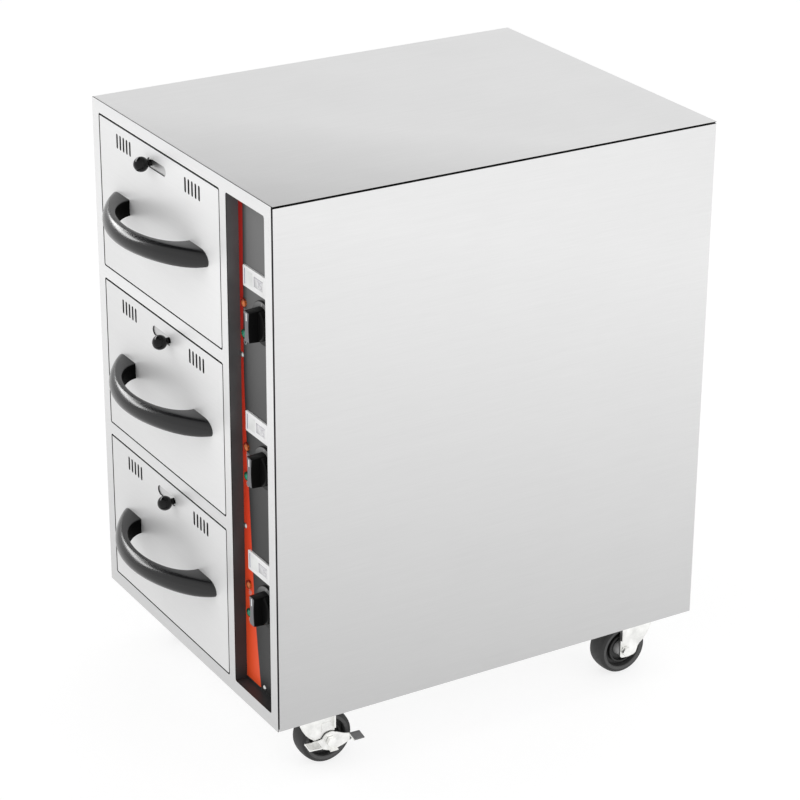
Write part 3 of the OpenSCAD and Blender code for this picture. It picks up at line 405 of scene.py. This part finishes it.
steelFrame = brushedSteel("steelFrame", alongY, 0.66, 0.36, 0.06)
steelPan = brushedSteel("steelPan", alongY, 0.82, 0.18, 0.03)
# The shutter's window walls are painted nearly black: painted shade
steelShutter = brushedSteel("steelShutter", alongX, 0.60, 0.40, folds=(0.0016, 0.006, 0.97))
zincSlide = zincPlate("zincSlide", 0.70, 0.34)
zincCaster = zincPlate("zincCaster", 0.97, 0.32)
zincBrake = zincPlate("zincBrake", 0.97, 0.32, tip=-0.1855)
zincScrew = zincPlate("zincScrew", 0.70, 0.30)
aluminiumBody = zincPlate("aluminiumBody", 0.62, 0.42, (1.0, 1.0, 1.02))
elementSheath = zincPlate("elementSheath", 0.20, 0.50, (1.0, 0.96, 0.92))
handleBlack = mouldedPlastic("handleBlack", (0.004, 0.004, 0.0045), 0.22, 900.0, 0.006, 0.2, specular=0.55)
# A second black for the handles' flat inner faces: painted shade
handleInnerShade = mouldedPlastic("handleInnerShade", (0.002, 0.002, 0.002), 0.6, 900.0, 0.02, 0.2, specular=0.04)
ballBlack = mouldedPlastic("ballBlack", (0.003, 0.003, 0.003), 0.16, 900.0, 0.005, 0.2, specular=0.25)
bezelWhite = mouldedPlastic("bezelWhite", (0.84, 0.84, 0.84), 0.35, 1600.0, 0.03, 0.03)
windowGrey = mouldedPlastic("windowGrey", (0.71, 0.71, 0.72), 0.22, 900.0, 0.01, 0.06, 0.2)
labelPale = mouldedPlastic("labelPale", (0.76, 0.77, 0.76), 0.45)
segmentDark = mouldedPlastic("segmentDark", (0.50, 0.49, 0.52), 0.30)
stripeBlue = mouldedPlastic("stripeBlue", (0.15, 0.18, 0.30), 0.35)
printGrey = mouldedPlastic("printGrey", (0.52, 0.53, 0.54), 0.45)
printPale = mouldedPlastic("printPale", (0.60, 0.60, 0.61), 0.45)
pointerSilver = brushedSteel("pointerSilver", alongZ, 0.18, 0.38, 0.05, (0.98, 0.97, 1.03))
glandBlack = mouldedPlastic("glandBlack", (0.02, 0.02, 0.02), 0.5)
terminalCream = mouldedPlastic("terminalCream", (0.70, 0.66, 0.56), 0.5)
# The bay's tray is dark grey as a painted reflection of the dark fascia, and darker towards the bottom as painted
# shade
recessShadeAndReflection = mouldedPlastic("recessShadeAndReflection", (0.125, 0.126, 0.128), 0.45, 1400.0, 0.03, 0.1, specular=0.3,
                             fade=(0.22, 0.78, 0.36))
fasciaPrint = printedFascia("fasciaPrint")
lensAmber = lampLens("lensAmber", lens["heatZ"], (0.70, 0.17, 0.035), (0.20, 0.016, 0.006))
lensGreen = lampLens("lensGreen", lens["powerZ"], (0.01, 0.30, 0.17), (0.0, 0.06, 0.03))
woolYellow = mineralWool("woolYellow")
tyreTread = wheelRubber("tyreTread", 0.018, 0.60)
tyreSide = wheelRubber("tyreSide", 0.060, 0.5)
coreDark = wheelRubber("coreDark", 0.014, 0.45)
hubGrey = wheelRubber("hubGrey", 0.32, 0.4)
print("finishes made")

dressing = {
    "top_panel": steelTop, "left_side_panel": steelSide, "right_side_panel": steelSide, "back_panel": steelBack,
    "base_pan": steelBack, "front_frame": steelFace, "inner_liner": steelLiner, "heater_shelves": steelLiner,
    "heating_elements": elementSheath, "insulation": woolYellow, "control_recess": recessShadeAndReflection,
    "control_fascia": fasciaPrint, "thermometers": bezelWhite, "heat_lamps": lensAmber, "power_lamps": lensGreen,
    "thermostats": aluminiumBody, "outer_slides": zincSlide, "cabinet_screws": zincScrew,
    "cable_gland": glandBlack, "terminal_block": terminalCream, "caster_plates": zincCaster,
    "caster_bolts": zincScrew,
    "front_left_brake": zincBrake, "front_right_brake": zincBrake,
}
for number in rows:
    drawer = f"drawer_{number}_"
    dressing[knobNames[number] + "_knob"] = dialMoulding(f"dialMoulding{number}", meterZ[number] - dial["drop"])
    dressing.update({
        drawer + "front": steelDrawer, drawer + "frame": steelFrame, drawer + "pan": steelPan,
        drawer + "handle": handleBlack, drawer + "shutter": steelShutter, drawer + "shutter_knob": ballBlack,
        drawer + "inner_slides": zincSlide, drawer + "mid_slides": zincSlide,
    })
for corner in ("front_left", "front_right", "rear_left", "rear_right"):
    dressing[corner + "_fork"] = zincCaster
    dressing[corner + "_wheel"] = coreDark
for node, finish in dressing.items():
    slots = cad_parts[node].data.materials
    slots.clear()
    slots.append(finish)
print("frame dressed")


# Turns a bmesh into a piece on a body
def makePiece(name, bm, finish, body, replaced=(), sharp=35):
    bmesh.ops.remove_doubles(bm, verts=bm.verts, dist=0.000001)
    bmesh.ops.recalc_face_normals(bm, faces=bm.faces)
    mesh = bpy.data.meshes.new(name)
    bm.to_mesh(mesh)
    bm.free()
    for face in mesh.polygons:
        face.use_smooth = True
    mesh.set_sharp_from_angle(angle=math.radians(sharp))
    mesh.materials.append(finish)
    piece = bpy.data.objects.new(name, mesh)
    bpy.context.collection.objects.link(piece)
    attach(piece, body)
    if replaced:
        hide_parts(*replaced)
    return piece


def addBlock(bm, centre, size, radius, segments=3):
    corners = bmesh.ops.create_cube(bm, size=1.0)["verts"]
    bmesh.ops.scale(bm, vec=size, verts=corners)
    bmesh.ops.translate(bm, vec=centre, verts=corners)
    if radius:
        edges = list({edge for corner in corners for edge in corner.link_edges})
        bmesh.ops.bevel(bm, geom=edges, offset=radius, segments=segments, profile=0.5, affect="EDGES",
                        material=-1)


# A closed profile of (offset along X, radius) turned about an axle along X
def turnProfile(bm, points, axle, steps=72):
    ring = [bm.verts.new((axle[0] + along, axle[1], axle[2] + radius)) for along, radius in points]
    edges = [bm.edges.new((ring[k], ring[(k + 1) % len(ring)])) for k in range(len(ring))]
    bmesh.ops.spin(bm, geom=ring + edges, cent=axle, axis=(1, 0, 0), angle=2 * math.pi, steps=steps,
                   use_merge=True)


# Bow handles: each point of the section follows its own bow
bow = {
    "stations": 80, "rounds": 16, "halfWidth": 0.125, "flare": 0.018, "lean": 0.003, "reach": 0.052,
    "bulge": 0.013, "power": 1.28, "powerDrop": 0.23, "gripHalf": 0.090, "gripDepth": 0.048, "gripPower": 2.0,
    "height": 0.028, "edge": 0.0012, "edgeSteps": 3, "drop": 0.098, "footRise": 0.16, "footPower": 9,
    "innerBand": 0.04,
}


# Points of the section: half width, reach, roundness of the bow, and height below the handle's top
def bowSection():
    section = []
    for k in range(bow["rounds"] + 1):
        lift = math.pi / 2 - math.pi * k / bow["rounds"]
        side = math.cos(lift)
        half = bow["halfWidth"] + (1 - math.sin(lift)) * bow["lean"] + bow["flare"] * side
        section.append((half, bow["reach"] + bow["bulge"] * side, bow["power"] - bow["powerDrop"] * side,
                        bow["height"] / 2 * (math.sin(lift) - 1)))
    edge = bow["edge"]
    turns = [math.pi / 2 * k / bow["edgeSteps"] for k in range(bow["edgeSteps"] + 1)]
    for turn in turns:                                  # the lower inner edge
        back = edge * (1 - math.sin(turn))
        section.append((bow["gripHalf"] + back, bow["gripDepth"] + back, bow["gripPower"],
                        -bow["height"] + edge * (1 - math.cos(turn))))
    for turn in turns:                                  # the upper inner edge
        back = edge * (1 - math.cos(turn))
        section.append((bow["gripHalf"] + back, bow["gripDepth"] + back, bow["gripPower"],
                        -edge * (1 - math.sin(turn))))
    return section


def buildHandle(number):
    section = bowSection()
    top = drawerTops[number] - bow["drop"]

    def onBow(point, turn):
        half, reach, power, drop = point
        out = math.sin(turn) if 0 < turn < math.pi else 0.0
        rise = 1 - bow["footRise"] * abs(math.cos(turn)) ** bow["footPower"]
        return Vector((drawerX - half * math.cos(turn), frontY - reach * out ** (2 / power), top + drop * rise))

    bm = bmesh.new()
    ring = [bm.verts.new(onBow(point, 0.0)) for point in section]
    edges = [bm.edges.new((ring[k], ring[(k + 1) % len(ring)])) for k in range(len(ring))]
    bmesh.ops.contextual_create(bm, geom=edges)
    for station in range(1, bow["stations"] + 1):
        turn = math.pi * station / bow["stations"]
        grown = bmesh.ops.extrude_edge_only(bm, edges=edges)["geom"]
        order = {vert.co.to_tuple(7): k for k, vert in enumerate(ring)}
        fresh = [item for item in grown if isinstance(item, bmesh.types.BMVert)]
        edges = [item for item in grown if isinstance(item, bmesh.types.BMEdge)]
        placed = [None] * len(ring)
        for vert in fresh:
            placed[order[vert.co.to_tuple(7)]] = vert
        for vert, point in zip(placed, section):
            vert.co = onBow(point, turn)
        ring = placed
    bmesh.ops.contextual_create(bm, geom=edges)
    # The flat inner faces take a second, deeper black: painted shade on the handle's inner sides
    middle = Vector((drawerX, frontY, top - bow["height"] / 2))
    for face in bm.faces:
        out = face.calc_center_median() - middle
        inward = math.hypot(out.x / bow["gripHalf"], out.y / bow["gripDepth"])
        flat = abs(out.z) < bow["height"] / 2 - bow["edge"]
        face.material_index = int(flat and abs(inward - 1) < bow["innerBand"])
    name = f"drawer_{number}"
    piece = makePiece(f"bowHandle{number}", bm, handleBlack, name, [name + "_handle"], 40)
    piece.data.materials.append(handleInnerShade)


for number in rows:
    buildHandle(number)
print("handles bowed")


# Caster wheels: tread, side faces, dark web with a raised bead and a hub on each axle. Lips, feet and heads are
# points of a profile, each given as (inward from the side, step of the radius)
wheel = {
    "radius": 0.040, "half": 0.016, "crown": 0.0011, "crownSteps": 6, "shoulder": 0.0042, "shoulderSteps": 8,
    "treadLip": ((0.001, 0.0075), (0.0, 0.0062), (0.0004, 0.0048)), "lipStep": 0.0005,
    "sideInner": 0.0288, "sideFoot": ((0.0012, 0.0), (0.0002, 0.0008), (0.0, 0.002)),
    "sideHead": ((0.0, 0.0063), (0.001, 0.0074)), "grooveHalf": 0.008, "grooveRound": 0.0006,
    "bead": 0.0208, "beadRadius": 0.0016, "beadHalf": 0.0145, "beadSteps": 6,
    "webHalf": 0.009, "webRound": 0.0008, "hub": (0.0042, 0.0110), "hubHalf": 0.0184, "hubRise": 0.0012,
    "hubNeck": 0.003, "hubFace": ((0.0006, 0.0018), (0.0, 0.0024)),
}
axles = {
    "front_left": (-0.201, -0.216, 0.040), "front_right": (0.201, -0.216, 0.040),
    "rear_left": (-0.201, 0.283, 0.040), "rear_right": (0.201, 0.283, 0.040),
}


# A closed profile from one side's points (distance from the middle, radius), and the same mirrored
def bothSides(points):
    return [(-along, out) for along, out in points] + [(along, out) for along, out in reversed(points)]


def turnPart(name, points, axle, finish, body, replaced=()):
    bm = bmesh.new()
    turnProfile(bm, bothSides(points), axle)
    makePiece(name, bm, finish, body, replaced)


def buildWheel(corner, axle):
    body = corner + "_roller"
    half, radius, shoulder, crown = wheel["half"], wheel["radius"], wheel["shoulder"], wheel["crown"]
    tread = [(half - inward, radius - below) for inward, below in wheel["treadLip"]]
    for k in range(1, wheel["shoulderSteps"] + 1):
        turn = math.pi / 2 * k / wheel["shoulderSteps"]
        tread.append((half - wheel["lipStep"] - shoulder * (1 - math.cos(turn)),
                      radius - crown - shoulder * (1 - math.sin(turn))))
    for k in range(1, wheel["crownSteps"]):
        share = 1 - k / wheel["crownSteps"]
        tread.append(((half - shoulder) * share, radius - crown * share ** 2))
    turnPart(corner + "Tread", tread, axle, tyreTread, body, [corner + "_wheel"])

    inner, groove = wheel["sideInner"], wheel["grooveHalf"]
    side = [(groove, inner)] + [(half - inward, inner + above) for inward, above in wheel["sideFoot"]]
    side += [(half - inward, radius - below) for inward, below in wheel["sideHead"]]
    turnPart(corner + "TyreSide", side, axle, tyreSide, body)

    bead, beadRadius, beadHalf = wheel["bead"], wheel["beadRadius"], wheel["beadHalf"]
    web, webRound, grooveRound = wheel["webHalf"], wheel["webRound"], wheel["grooveRound"]
    hubLow, hubHigh = wheel["hub"]
    hubFoot = (web, hubHigh + wheel["hubRise"])
    core = [(groove, inner), (groove, bead + beadRadius + grooveRound), (groove + grooveRound, bead + beadRadius)]
    for k in range(wheel["beadSteps"] + 1):
        turn = math.pi * k / wheel["beadSteps"]
        core.append((beadHalf - beadRadius + beadRadius * math.sin(turn), bead + beadRadius * math.cos(turn)))
    core += [(web + webRound, bead - beadRadius), (web, bead - beadRadius - webRound), hubFoot]
    turnPart(corner + "Core", core, axle, coreDark, body)

    hub = [hubFoot, (half - wheel["hubNeck"], hubHigh)]
    hub += [(wheel["hubHalf"] - inward, hubHigh - below) for inward, below in wheel["hubFace"]]
    turnPart(corner + "Hub", hub + [(wheel["hubHalf"], hubLow)], axle, hubGrey, body)


for corner, axle in axles.items():
    buildWheel(corner, axle)
print("wheels turned")


# Thermometer windows, their digits, stripe and label
meter = {
    "x": 0.190, "face": 0.0025, "window": (0.0236, 0.0136), "windowX": 0.0045, "windowDepth": 0.0003,
    "windowThick": 0.0005, "windowRound": 0.0002, "rim": 0.0011, "rimThick": 0.0004, "rimLift": 0.0003,
    "reading": "75", "digit": (0.0050, 0.0086), "digitX": -0.0015, "digitStep": 0.0075, "digitDrop": 0.0005,
    "digitThick": 0.0002, "digitLift": 0.00035, "stroke": 0.0009,
    "stripe": {"x": -0.0322, "size": (0.0014, 0.0003, 0.0215), "lift": 0.0001, "round": 0.0001},
    "label": {"x": -0.0200, "size": (0.018, 0.0002, 0.019), "lift": 0.00005, "round": 0.00008},
}
# Bars of a digit: across, up, and whether the bar lies flat
bars = {"a": (0, 1, 1), "b": (1, 0.5, 0), "c": (1, -0.5, 0), "d": (0, -1, 1), "f": (-1, 0.5, 0), "g": (0, 0, 1)}
digitBars = {"7": "abc", "5": "afgcd"}


def buildMeter(number):
    face = fasciaY - meter["face"]
    pane = face + meter["windowDepth"]
    centreX, centreZ = meter["x"] + meter["windowX"], meterZ[number]
    width, height = meter["window"]
    rim, rimThick, rimY = meter["rim"], meter["rimThick"], pane - meter["rimLift"]
    bm = bmesh.new()
    addBlock(bm, (centreX, pane, centreZ), (width, meter["windowThick"], height), meter["windowRound"], 2)
    makePiece(f"meterWindow{number}", bm, windowGrey, "cabinet")
    bm = bmesh.new()
    addBlock(bm, (centreX - width / 2 + rim / 2, rimY, centreZ), (rim, rimThick, height), 0)
    addBlock(bm, (centreX, rimY, centreZ + height / 2 - rim / 2), (width, rimThick, rim), 0)
    digitWidth, digitHeight = meter["digit"]
    stroke, thick = meter["stroke"], meter["digitThick"]
    for place, digit in enumerate(meter["reading"]):
        x = centreX + meter["digitX"] + place * meter["digitStep"]
        z = centreZ - meter["digitDrop"]
        for bar in digitBars[digit]:
            across, up, flat = bars[bar]
            size = (digitWidth - stroke, thick, stroke) if flat else (stroke, thick, digitHeight / 2 - stroke)
            centre = (x + across * digitWidth / 2, pane - meter["digitLift"], z + up * digitHeight / 2)
            addBlock(bm, centre, size, 0)
    makePiece(f"meterDigits{number}", bm, segmentDark, "cabinet")
    for word, finish in (("Stripe", stripeBlue), ("Label", labelPale)):
        strip = meter[word.lower()]
        bm = bmesh.new()
        addBlock(bm, (meter["x"] + strip["x"], face - strip["lift"], centreZ), strip["size"], strip["round"], 1)
        makePiece(f"meter{word}{number}", bm, finish, "cabinet")


# Thin raised words, facing the front and turned about their centre
def flatText(words, size, centre, tilt):
    curve = bpy.data.curves.new("words", "FONT")
    curve.body = words
    curve.size = size
    curve.extrude = dial["depth"]
    curve.align_x = "CENTER"
    curve.align_y = "CENTER"
    holder = bpy.data.objects.new("words", curve)
    bpy.context.collection.objects.link(holder)
    mesh = bpy.data.meshes.new_from_object(holder.evaluated_get(bpy.context.evaluated_depsgraph_get()))
    bpy.data.objects.remove(holder)
    bm = bmesh.new()
    bm.from_mesh(mesh)
    turn = Matrix.Translation(centre) @ Matrix.Rotation(tilt, 4, "Y") @ Matrix.Rotation(math.pi / 2, 4, "X")
    bmesh.ops.transform(bm, matrix=turn, verts=bm.verts)
    return bm


def joinInto(bm, other):
    mesh = bpy.data.meshes.new("joined")
    other.to_mesh(mesh)
    other.free()
    bm.from_mesh(mesh)
    bpy.data.meshes.remove(mesh)


def buildDial(number):
    centreZ = meterZ[number] - dial["drop"]
    face = fasciaY - dial["skirt"] - dial["depth"]
    radius = dial["numberRadius"]
    bm = bmesh.new()
    for k, words in enumerate(dial["numbers"]):
        turn = math.radians(dial["step"] * k)
        place = (dial["x"] + math.sin(turn) * radius, face, centreZ + math.cos(turn) * radius)
        joinInto(bm, flatText(words, dial["textSize"], place, turn))
    makePiece(f"dialNumbers{number}", bm, printPale, knobNames[number] + "_control")


# Small plain signs under the lamps: three rising waves, and a ring with a stroke. Waves and ring go by the size
signs = {
    "heatX": 0.1525, "heatDrop": 0.0520, "powerX": 0.1515, "powerDrop": 0.0950, "size": 0.0078, "line": 0.0006,
    "lift": 0.0001, "thick": 0.0003, "waveSteps": 8, "waveBend": 0.12, "waveGap": 0.34, "waveLap": 0.3,
    "ringSteps": 20, "ringRadius": 0.42, "ringOpen": 35, "ringLine": 1.2, "strokeRise": 0.3, "strokeLength": 0.5,
}


def buildSigns(number):
    bm = bmesh.new()
    size, line, thick = signs["size"], signs["line"], signs["thick"]
    y = fasciaY - signs["lift"]
    heatZ = meterZ[number] - signs["heatDrop"]
    steps = signs["waveSteps"]
    for column in (-1, 0, 1):
        for k in range(steps):
            middle = (k + 0.5) / steps - 0.5
            bend = signs["waveBend"] * size * math.sin(2 * math.pi * middle)
            addBlock(bm, (signs["heatX"] + column * size * signs["waveGap"] + bend, y, heatZ + size * middle),
                     (line, thick, size / steps + line * signs["waveLap"]), 0)
    powerZ = meterZ[number] - signs["powerDrop"]
    steps, radius, wide = signs["ringSteps"], size * signs["ringRadius"], line * signs["ringLine"]
    for k in range(steps):
        turn = math.radians(signs["ringOpen"] + (360 - 2 * signs["ringOpen"]) * k / (steps - 1))
        place = (signs["powerX"] + math.sin(turn) * radius, y, powerZ + math.cos(turn) * radius)
        addBlock(bm, place, (wide, thick, wide), 0)
    addBlock(bm, (signs["powerX"], y, powerZ + size * signs["strokeRise"]),
             (line, thick, size * signs["strokeLength"]), 0)
    makePiece(f"lampSigns{number}", bm, printGrey, "cabinet")


# Silver strip on each grip's front, pinched as the grip is, with a pale pointer at its top
pointer = {
    "halfWidth": 0.0061, "pinch": 0.0016, "pinchRadius": 0.110, "end": 0.0208, "front": 0.0255, "thick": 0.0004,
    "steps": 10, "endSteps": 4, "mark": (0.0022, 0.0003, 0.0105), "markRise": 0.0135, "markLift": 0.0001,
    "markRound": 0.0001,
}


def buildPointer(number):
    centreZ = meterZ[number] - dial["drop"]
    body = knobNames[number] + "_control"
    face = fasciaY - pointer["front"]
    end, halfWidth = pointer["end"], pointer["halfWidth"]
    side = math.asin(halfWidth / end)
    outline = []
    for k in range(pointer["endSteps"] + 1):            # the round top end
        turn = side * (1 - 2 * k / pointer["endSteps"])
        outline.append((-end * math.sin(turn), end * math.cos(turn)))
    low = end * math.cos(side)
    for k in range(1, pointer["steps"]):                # down the right side
        z = low * (1 - 2 * k / pointer["steps"])
        outline.append((halfWidth - max(0.0, pointer["pinch"] - z * z / (2 * pointer["pinchRadius"])), z))
    outline += [(-x, -z) for x, z in outline]
    bm = bmesh.new()
    plate = bm.faces.new([bm.verts.new((dial["x"] + x, face, centreZ + z)) for x, z in outline])
    grown = bmesh.ops.extrude_face_region(bm, geom=[plate])["geom"]
    front = [item for item in grown if isinstance(item, bmesh.types.BMVert)]
    bmesh.ops.translate(bm, vec=(0, -pointer["thick"], 0), verts=front)
    makePiece(f"knobStrip{number}", bm, pointerSilver, body)
    bm = bmesh.new()
    markY = face - pointer["thick"] - pointer["markLift"]
    addBlock(bm, (dial["x"], markY, centreZ + pointer["markRise"]), pointer["mark"], pointer["markRound"], 1)
    makePiece(f"knobPointer{number}", bm, bezelWhite, body)


for number in rows:
    buildMeter(number)
    buildDial(number)
    buildSigns(number)
    buildPointer(number)
print("controls marked")


# Camera, from the photograph's vanishing lines
shot = {"place": (3.073, -1.818, 2.002), "azimuth": 59.0, "elevation": 23.9, "roll": 0.36, "lens": 123.1,
        "sensor": 36.0, "farthest": 60.0}


def makeCamera():
    turn, lift, tilt = (math.radians(shot[key]) for key in ("azimuth", "elevation", "roll"))
    back = Vector((math.sin(turn) * math.cos(lift), -math.cos(turn) * math.cos(lift), math.sin(lift)))
    right = (-back).cross(Vector((0, 0, 1))).normalized()
    up = right.cross(-back)
    across = math.cos(tilt) * right + math.sin(tilt) * up
    upward = math.cos(tilt) * up - math.sin(tilt) * right
    lensData = bpy.data.cameras.new("studioCamera")
    lensData.lens = shot["lens"]
    lensData.sensor_width = shot["sensor"]
    lensData.clip_end = shot["farthest"]
    camera = bpy.data.objects.new("studioCamera", lensData)
    facing = Matrix((across, upward, back)).transposed().to_4x4()
    camera.matrix_world = Matrix.Translation(shot["place"]) @ facing
    bpy.context.collection.objects.link(camera)
    bpy.context.scene.camera = camera


# Soft boxes: name, place, width and height, power, whether they show in gloss, and whether they shine on the
# handles and shutter knobs alone
litPoint = (0.0, 0.0, 0.4)
lights = (
    ("keySoftbox", (-2.2, -2.6, 3.2), (2.6, 2.6), 40.0, False, False),
    ("sideSoftbox", (3.4, 1.0, 2.6), (2.4, 2.4), 12.0, True, False),
    ("topSoftbox", (-0.2, 0.6, 3.6), (2.8, 2.8), 16.0, False, False),
    ("stripSoftbox", (-3.1, -1.5, 2.6), (3.8, 0.8), 100.0, True, True),
)


# White surround, a little darker overhead, with black flags hung up on the left: where each is seen, and the
# inner and outer angle of its soft edge
surround = {"turn": 0.45, "overhead": 0.62, "strength": 0.93}
flags = (
    {"toward": (-0.68, 0.02, 0.73), "inner": 15.0, "outer": 22.0, "level": 0.04},
    {"toward": (-0.42, -0.30, 0.86), "inner": 14.0, "outer": 22.0, "level": 0.04},
)


def makeLights():
    handles = bpy.data.collections.new("handles")
    for number in rows:
        handles.objects.link(bpy.data.objects[f"bowHandle{number}"])
        handles.objects.link(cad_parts[f"drawer_{number}_shutter_knob"])
    for name, place, size, power, inGloss, handlesOnly in lights:
        data = bpy.data.lights.new(name, "AREA")
        data.shape = "RECTANGLE"
        data.size, data.size_y = size
        data.energy = power
        lamp = bpy.data.objects.new(name, data)
        lamp.location = place
        lamp.rotation_mode = "QUATERNION"
        lamp.rotation_quaternion = (Vector(litPoint) - Vector(place)).to_track_quat("-Z", "Y")
        lamp.visible_glossy = inGloss
        if handlesOnly:
            lamp.light_linking.receiver_collection = handles
        bpy.context.collection.objects.link(lamp)


def makeSurround():
    world = bpy.data.worlds.new("studioWorld")
    bpy.context.scene.world = world
    world.use_nodes = True
    sky = Wiring(world.node_tree)
    where = sky.add("TexCoord", output="Generated")
    height = sky.add("SeparateXYZ", None, {"Vector": where}, "Z")
    stops = [(surround["turn"], grey(1.0)), (1.0, grey(surround["overhead"]))]
    light = sky.add("ValToRGB", {"stops": stops}, {"Fac": height})
    for flag in flags:
        toward = Vector(flag["toward"]).normalized()
        facing = sky.add("VectorMath", {"operation": "DOT_PRODUCT"}, {0: where, 1: toward}, "Value")
        inner, outer = (math.cos(math.radians(flag[edge])) for edge in ("inner", "outer"))
        stops = [(outer, grey(1.0)), (inner, grey(flag["level"]))]
        patch = sky.add("ValToRGB", {"stops": stops, "blend": "EASE"}, {"Fac": facing})
        light = sky.add("Mix", {"data_type": "RGBA", "blend_type": "MULTIPLY"}, {0: 1.0, 6: light, 7: patch}, 2)
    background = world.node_tree.nodes["Background"]
    sky.feed(background.inputs["Color"], light)
    sky.feed(background.inputs["Strength"], surround["strength"])
    bpy.context.scene.view_settings.view_transform = "Standard"


floorPaper = {"size": 14.0, "glow": 0.78, "tones": (0.26, 0.28)}


def makeFloor():
    bm = bmesh.new()
    bmesh.ops.create_grid(bm, x_segments=1, y_segments=1, size=floorPaper["size"])
    mesh = bpy.data.meshes.new("studioFloor")
    bm.to_mesh(mesh)
    bm.free()
    finish = Finish("floorPaper", rough=0.9, glow=grey(1.0), glowPower=floorPaper["glow"])
    cloud = finish.noise(3.0, 2.0)
    finish.drive("colour", finish.mix(cloud, *map(grey, floorPaper["tones"])))
    mesh.materials.append(finish.material)
    floor = bpy.data.objects.new("studioFloor", mesh)
    bpy.context.collection.objects.link(floor)


makeCamera()
makeLights()
makeSurround()
makeFloor()
print("studio set")
